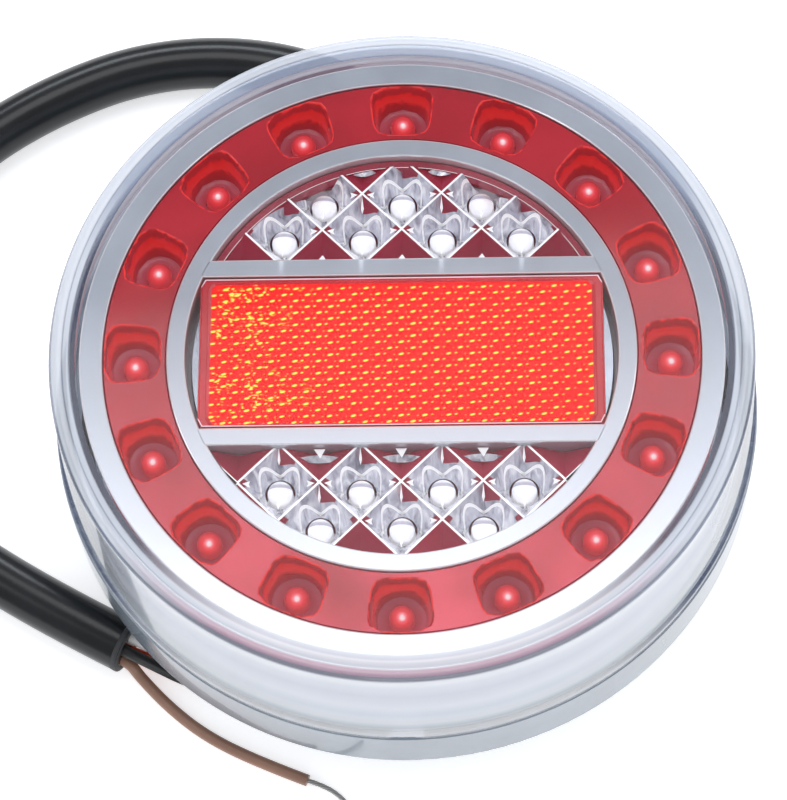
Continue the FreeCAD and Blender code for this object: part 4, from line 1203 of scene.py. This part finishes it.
def reflectorMaterial():
    # red prisms with painted orange and yellow glints and a painted glow
    material, tree, shader = newMaterial("reflexRed")
    prisms = tree.nodes.new("ShaderNodeGroup")
    prisms.node_tree = prismGroup()
    place = tree.nodes.new("ShaderNodeTexCoord")
    split = tree.nodes.new("ShaderNodeSeparateXYZ")
    tree.links.new(place.outputs["Object"], split.inputs["Vector"])
    patch = addNode(tree, "ShaderNodeTexNoise", Scale=260.0, Detail=3.0, Roughness=0.6)
    tree.links.new(place.outputs["Object"], patch.inputs["Vector"])
    # glints are strongest at the left and fade to the right, unevenly
    fade = addNode(tree, "ShaderNodeMapRange")
    fade.inputs["From Min"].default_value = -0.040
    fade.inputs["From Max"].default_value = 0.040
    fade.inputs["To Min"].default_value = 1.3
    fade.inputs["To Max"].default_value = 0.90
    tree.links.new(split.outputs["X"], fade.inputs["Value"])
    uneven = ramp(tree, patch.outputs["Fac"], [(0.30, (0.62, 0.62, 0.62)), (0.55, (1, 1, 1))])
    strength = calc(tree, "MULTIPLY", fade.outputs["Result"], uneven.outputs["Color"])
    glint = calc(tree, "MULTIPLY", prisms.outputs["Glint"], strength)
    # by the left end the prisms catch far more light, in loose clusters
    specks = addNode(tree, "ShaderNodeTexNoise", Scale=1150.0, Detail=2.0, Roughness=0.5)
    swarm = addNode(tree, "ShaderNodeMapping", Scale=(0.7, 1.5, 1.0))
    tree.links.new(place.outputs["Object"], swarm.inputs["Vector"])
    tree.links.new(swarm.outputs["Vector"], specks.inputs["Vector"])
    atLeft = share(tree, split.outputs["X"], *reflector["clusters"])
    inPatch = share(tree, patch.outputs["Fac"], 0.44, 0.62)
    bright = share(tree, specks.outputs["Fac"], 0.56, 0.68)
    cluster = calc(tree, "MULTIPLY", calc(tree, "MULTIPLY", bright, atLeft), inPatch)
    shine = calc(tree, "MAXIMUM", glint, cluster)
    clouds = calc(tree, "MULTIPLY", calc(tree, "SUBTRACT", patch.outputs["Fac"], 0.5), 0.30)
    lit = calc(tree, "MAXIMUM", calc(tree, "ADD", shine, clouds), 0.0)
    tone = ramp(tree, lit, [(0.0, (0.86, 0.003, 0.002)), (0.12, (0.95, 0.02, 0.004)),
                             (0.32, (1.0, 0.30, 0.01)), (0.62, (1.0, 0.82, 0.10))])
    tree.links.new(tone.outputs["Color"], shader.inputs["Base Color"])
    tree.links.new(tone.outputs["Color"], shader.inputs["Emission Color"])
    relief = addNode(tree, "ShaderNodeBump", Strength=0.25, Distance=0.0003)
    tree.links.new(prisms.outputs["Relief"], relief.inputs["Height"])
    tree.links.new(relief.outputs["Normal"], shader.inputs["Normal"])
    shader.inputs["Emission Strength"].default_value = 0.30
    shader.inputs["Roughness"].default_value = 0.5
    shader.inputs["Specular IOR Level"].default_value = 0.1
    return material


def makeReflector():
    # a raised red plate: a glossy lip all round with a painted pale highlight along its long sides and,
    # inside a smooth border, the prism field
    top = high("reflex_reflector")[2]
    bottom = low("reflex_reflector")[2]
    reach = (silver["bore"] - 0.3) / 1000
    mesh = bmesh.new()
    # loops from the outer foot inwards: insets at the ends, top and bottom in millimetres, height, material
    loops = [(0.0, 0.0, 0.0, bottom, 1), (0.0, 0.0, 0.0, top - 0.0004, 1), (0.1, 0.08, 0.08, top, 1),
             (0.3, 0.34, 0.3, top, 2), (0.4, 0.42, 0.36, top - 0.0002, 1), (1.5, 0.8, 0.45, top - 0.0002, 1),
             (1.6, 0.85, 0.5, top - 0.0001, 1), (2.2, 1.2, 0.55, top - 0.0002, 1),
             (3.0, 1.55, 0.6, top - 0.0003, 0)]
    steps = 12
    rows = []
    for ends, above, below, z, kind in loops:
        half = (reflector["half"] - ends) / 1000
        tops = (reflector["high"] - above) / 1000
        foot = (reflector["high"] - below) / 1000
        outline = []
        for sign, tall in ((1, tops), (-1, foot)):
            arcReach = math.sqrt((reach - ends / 1000) ** 2 - tall ** 2)
            corner = min(arcReach, half - 0.0008)
            side = min(math.sqrt((reach - ends / 1000) ** 2 - half ** 2), tall - 0.0008)
            line = [(-corner + 2 * corner * k / steps, tall * sign) for k in range(steps + 1)]
            if sign > 0:
                outline += [(-half, side)] + line + [(half, side)]
            else:
                outline += [(half, -side)] + line[::-1] + [(-half, -side)]
        rows.append([mesh.verts.new((x, y, z)) for x, y in outline])
    count = len(rows[0])
    for level, (a, b) in enumerate(zip(rows, rows[1:])):
        for k in range(count):
            face = mesh.faces.new((a[k], a[(k + 1) % count], b[(k + 1) % count], b[k]))
            kind = loops[level + 1][4]
            side = abs(face.calc_center_median().x) > reflector["half"] / 1000 - 0.0006
            face.material_index = 1 if kind == 2 and side else kind
    mesh.faces.new(rows[-1]).material_index = 0
    mesh.faces.new(rows[0]).material_index = 1
    field = reflectorMaterial()
    border = redMaterial("reflexBorder", (0.50, 0.012, 0.026), 0.12, glow=0.08)
    lip = redMaterial("reflexLipHighlight", (0.90, 0.62, 0.70), 0.08, glow=0.10)
    piece = finishMesh("reflexReflector", mesh, [field, border, lip], smooth=False)
    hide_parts("reflex_reflector")


solidFinishes = {
    "rear_housing": dict(colour=(0.235, 0.275, 0.32), rough=0.20, bump=0.06, spread=0.08, Coat_Weight=0.5),
    "lens_seal": dict(colour=(0.02, 0.02, 0.022), rough=0.75, bump=0.4),
    "carrier_ring": dict(colour=(0.80, 0.82, 0.86), rough=0.4, bump=0.1),
    "light_baffle": dict(colour=(0.55, 0.50, 0.54), rough=0.4, bump=0.1),
    "reflector_backing": dict(colour=(0.35, 0.01, 0.02), rough=0.3, bump=0.1),
    "reflector_tray": dict(colour=(0.30, 0.32, 0.37), rough=0.14, metal=0.8, bump=0.05, spread=0.2),
    "led_board": dict(colour=(0.16, 0.008, 0.018), rough=0.35, bump=0.15, spread=0.2, Coat_Weight=0.3),
    "series_resistors": dict(colour=(0.015, 0.015, 0.017), rough=0.5, bump=0.3),
    "protection_diodes": dict(colour=(0.02, 0.02, 0.02), rough=0.45, bump=0.3),
    "driver_chips": dict(colour=(0.012, 0.012, 0.013), rough=0.5, bump=0.3),
    "smoothing_capacitors": dict(colour=(0.70, 0.71, 0.73), rough=0.3, metal=0.8, bump=0.1),
    "board_screws": dict(colour=(0.62, 0.62, 0.60), rough=0.3, metal=0.9, bump=0.15),
    "mounting_studs": dict(colour=(0.62, 0.63, 0.64), rough=0.28, metal=0.95, bump=0.3, spread=0.12),
    "cable_grommet": dict(colour=(0.015, 0.015, 0.016), rough=0.6, bump=0.4, spread=0.3),
    "sealing_resin": dict(colour=(0.01, 0.01, 0.012), rough=0.15, bump=0.05),
    "vent_membrane": dict(colour=(0.75, 0.75, 0.73), rough=0.9, bump=0.8, scale=3500),
    "board_leads": dict(colour=(0.5, 0.05, 0.04), rough=0.4, bump=0.1),
    "lead_solder": dict(colour=(0.70, 0.70, 0.70), rough=0.25, metal=0.95, bump=0.2),
}


def finishSolids():
    for name, settings in solidFinishes.items():
        material = plainMaterial("finish_" + name, **settings)
        for slot in nodes[name].material_slots:
            slot.material = material


floor = {"half": 3, "colour": (0.92, 0.92, 0.93), "glow": 0.55}


def makeFloor():
    mesh = bmesh.new()
    bmesh.ops.create_grid(mesh, x_segments=1, y_segments=1, size=floor["half"])
    data = bpy.data.meshes.new("ground")
    mesh.to_mesh(data)
    mesh.free()
    card = plainMaterial("groundCard", floor["colour"], rough=0.7, spread=0.004, bump=0.02,
                         Emission_Color=(1, 1, 1, 1), Emission_Strength=floor["glow"])
    # from below the card lets the lamp's back be seen
    tree = card.node_tree
    geometry = tree.nodes.new("ShaderNodeNewGeometry")
    below = tree.nodes.new("ShaderNodeBsdfTransparent")
    either = tree.nodes.new("ShaderNodeMixShader")
    tree.links.new(geometry.outputs["Backfacing"], either.inputs["Fac"])
    tree.links.new(tree.nodes["Principled BSDF"].outputs["BSDF"], either.inputs[1])
    tree.links.new(below.outputs["BSDF"], either.inputs[2])
    tree.links.new(either.outputs["Shader"], tree.nodes["Material Output"].inputs["Surface"])
    data.materials.append(card)
    ground = bpy.data.objects.new("ground", data)
    bpy.context.collection.objects.link(ground)


bpy.context.scene.view_settings.view_transform = "Standard"     # keeps pale studio whites and deep reds
makeCamera()
makePanels()
makeFloor()
print("camera, panels and ground card")
makeCable()
makeOuterLens()
print("clear outer lens")
makeSilver()
print("silver ring, frame and bars")
makeRedRing()
print("red ring and its", redRing["count"], "cups")
makeWindows()
print("window optics")
makeDomes()
print("domes of the lights")
makeReflector()
print("reflex reflector")
finishSolids()
print("finishes of", len(solidFinishes), "kept solids")
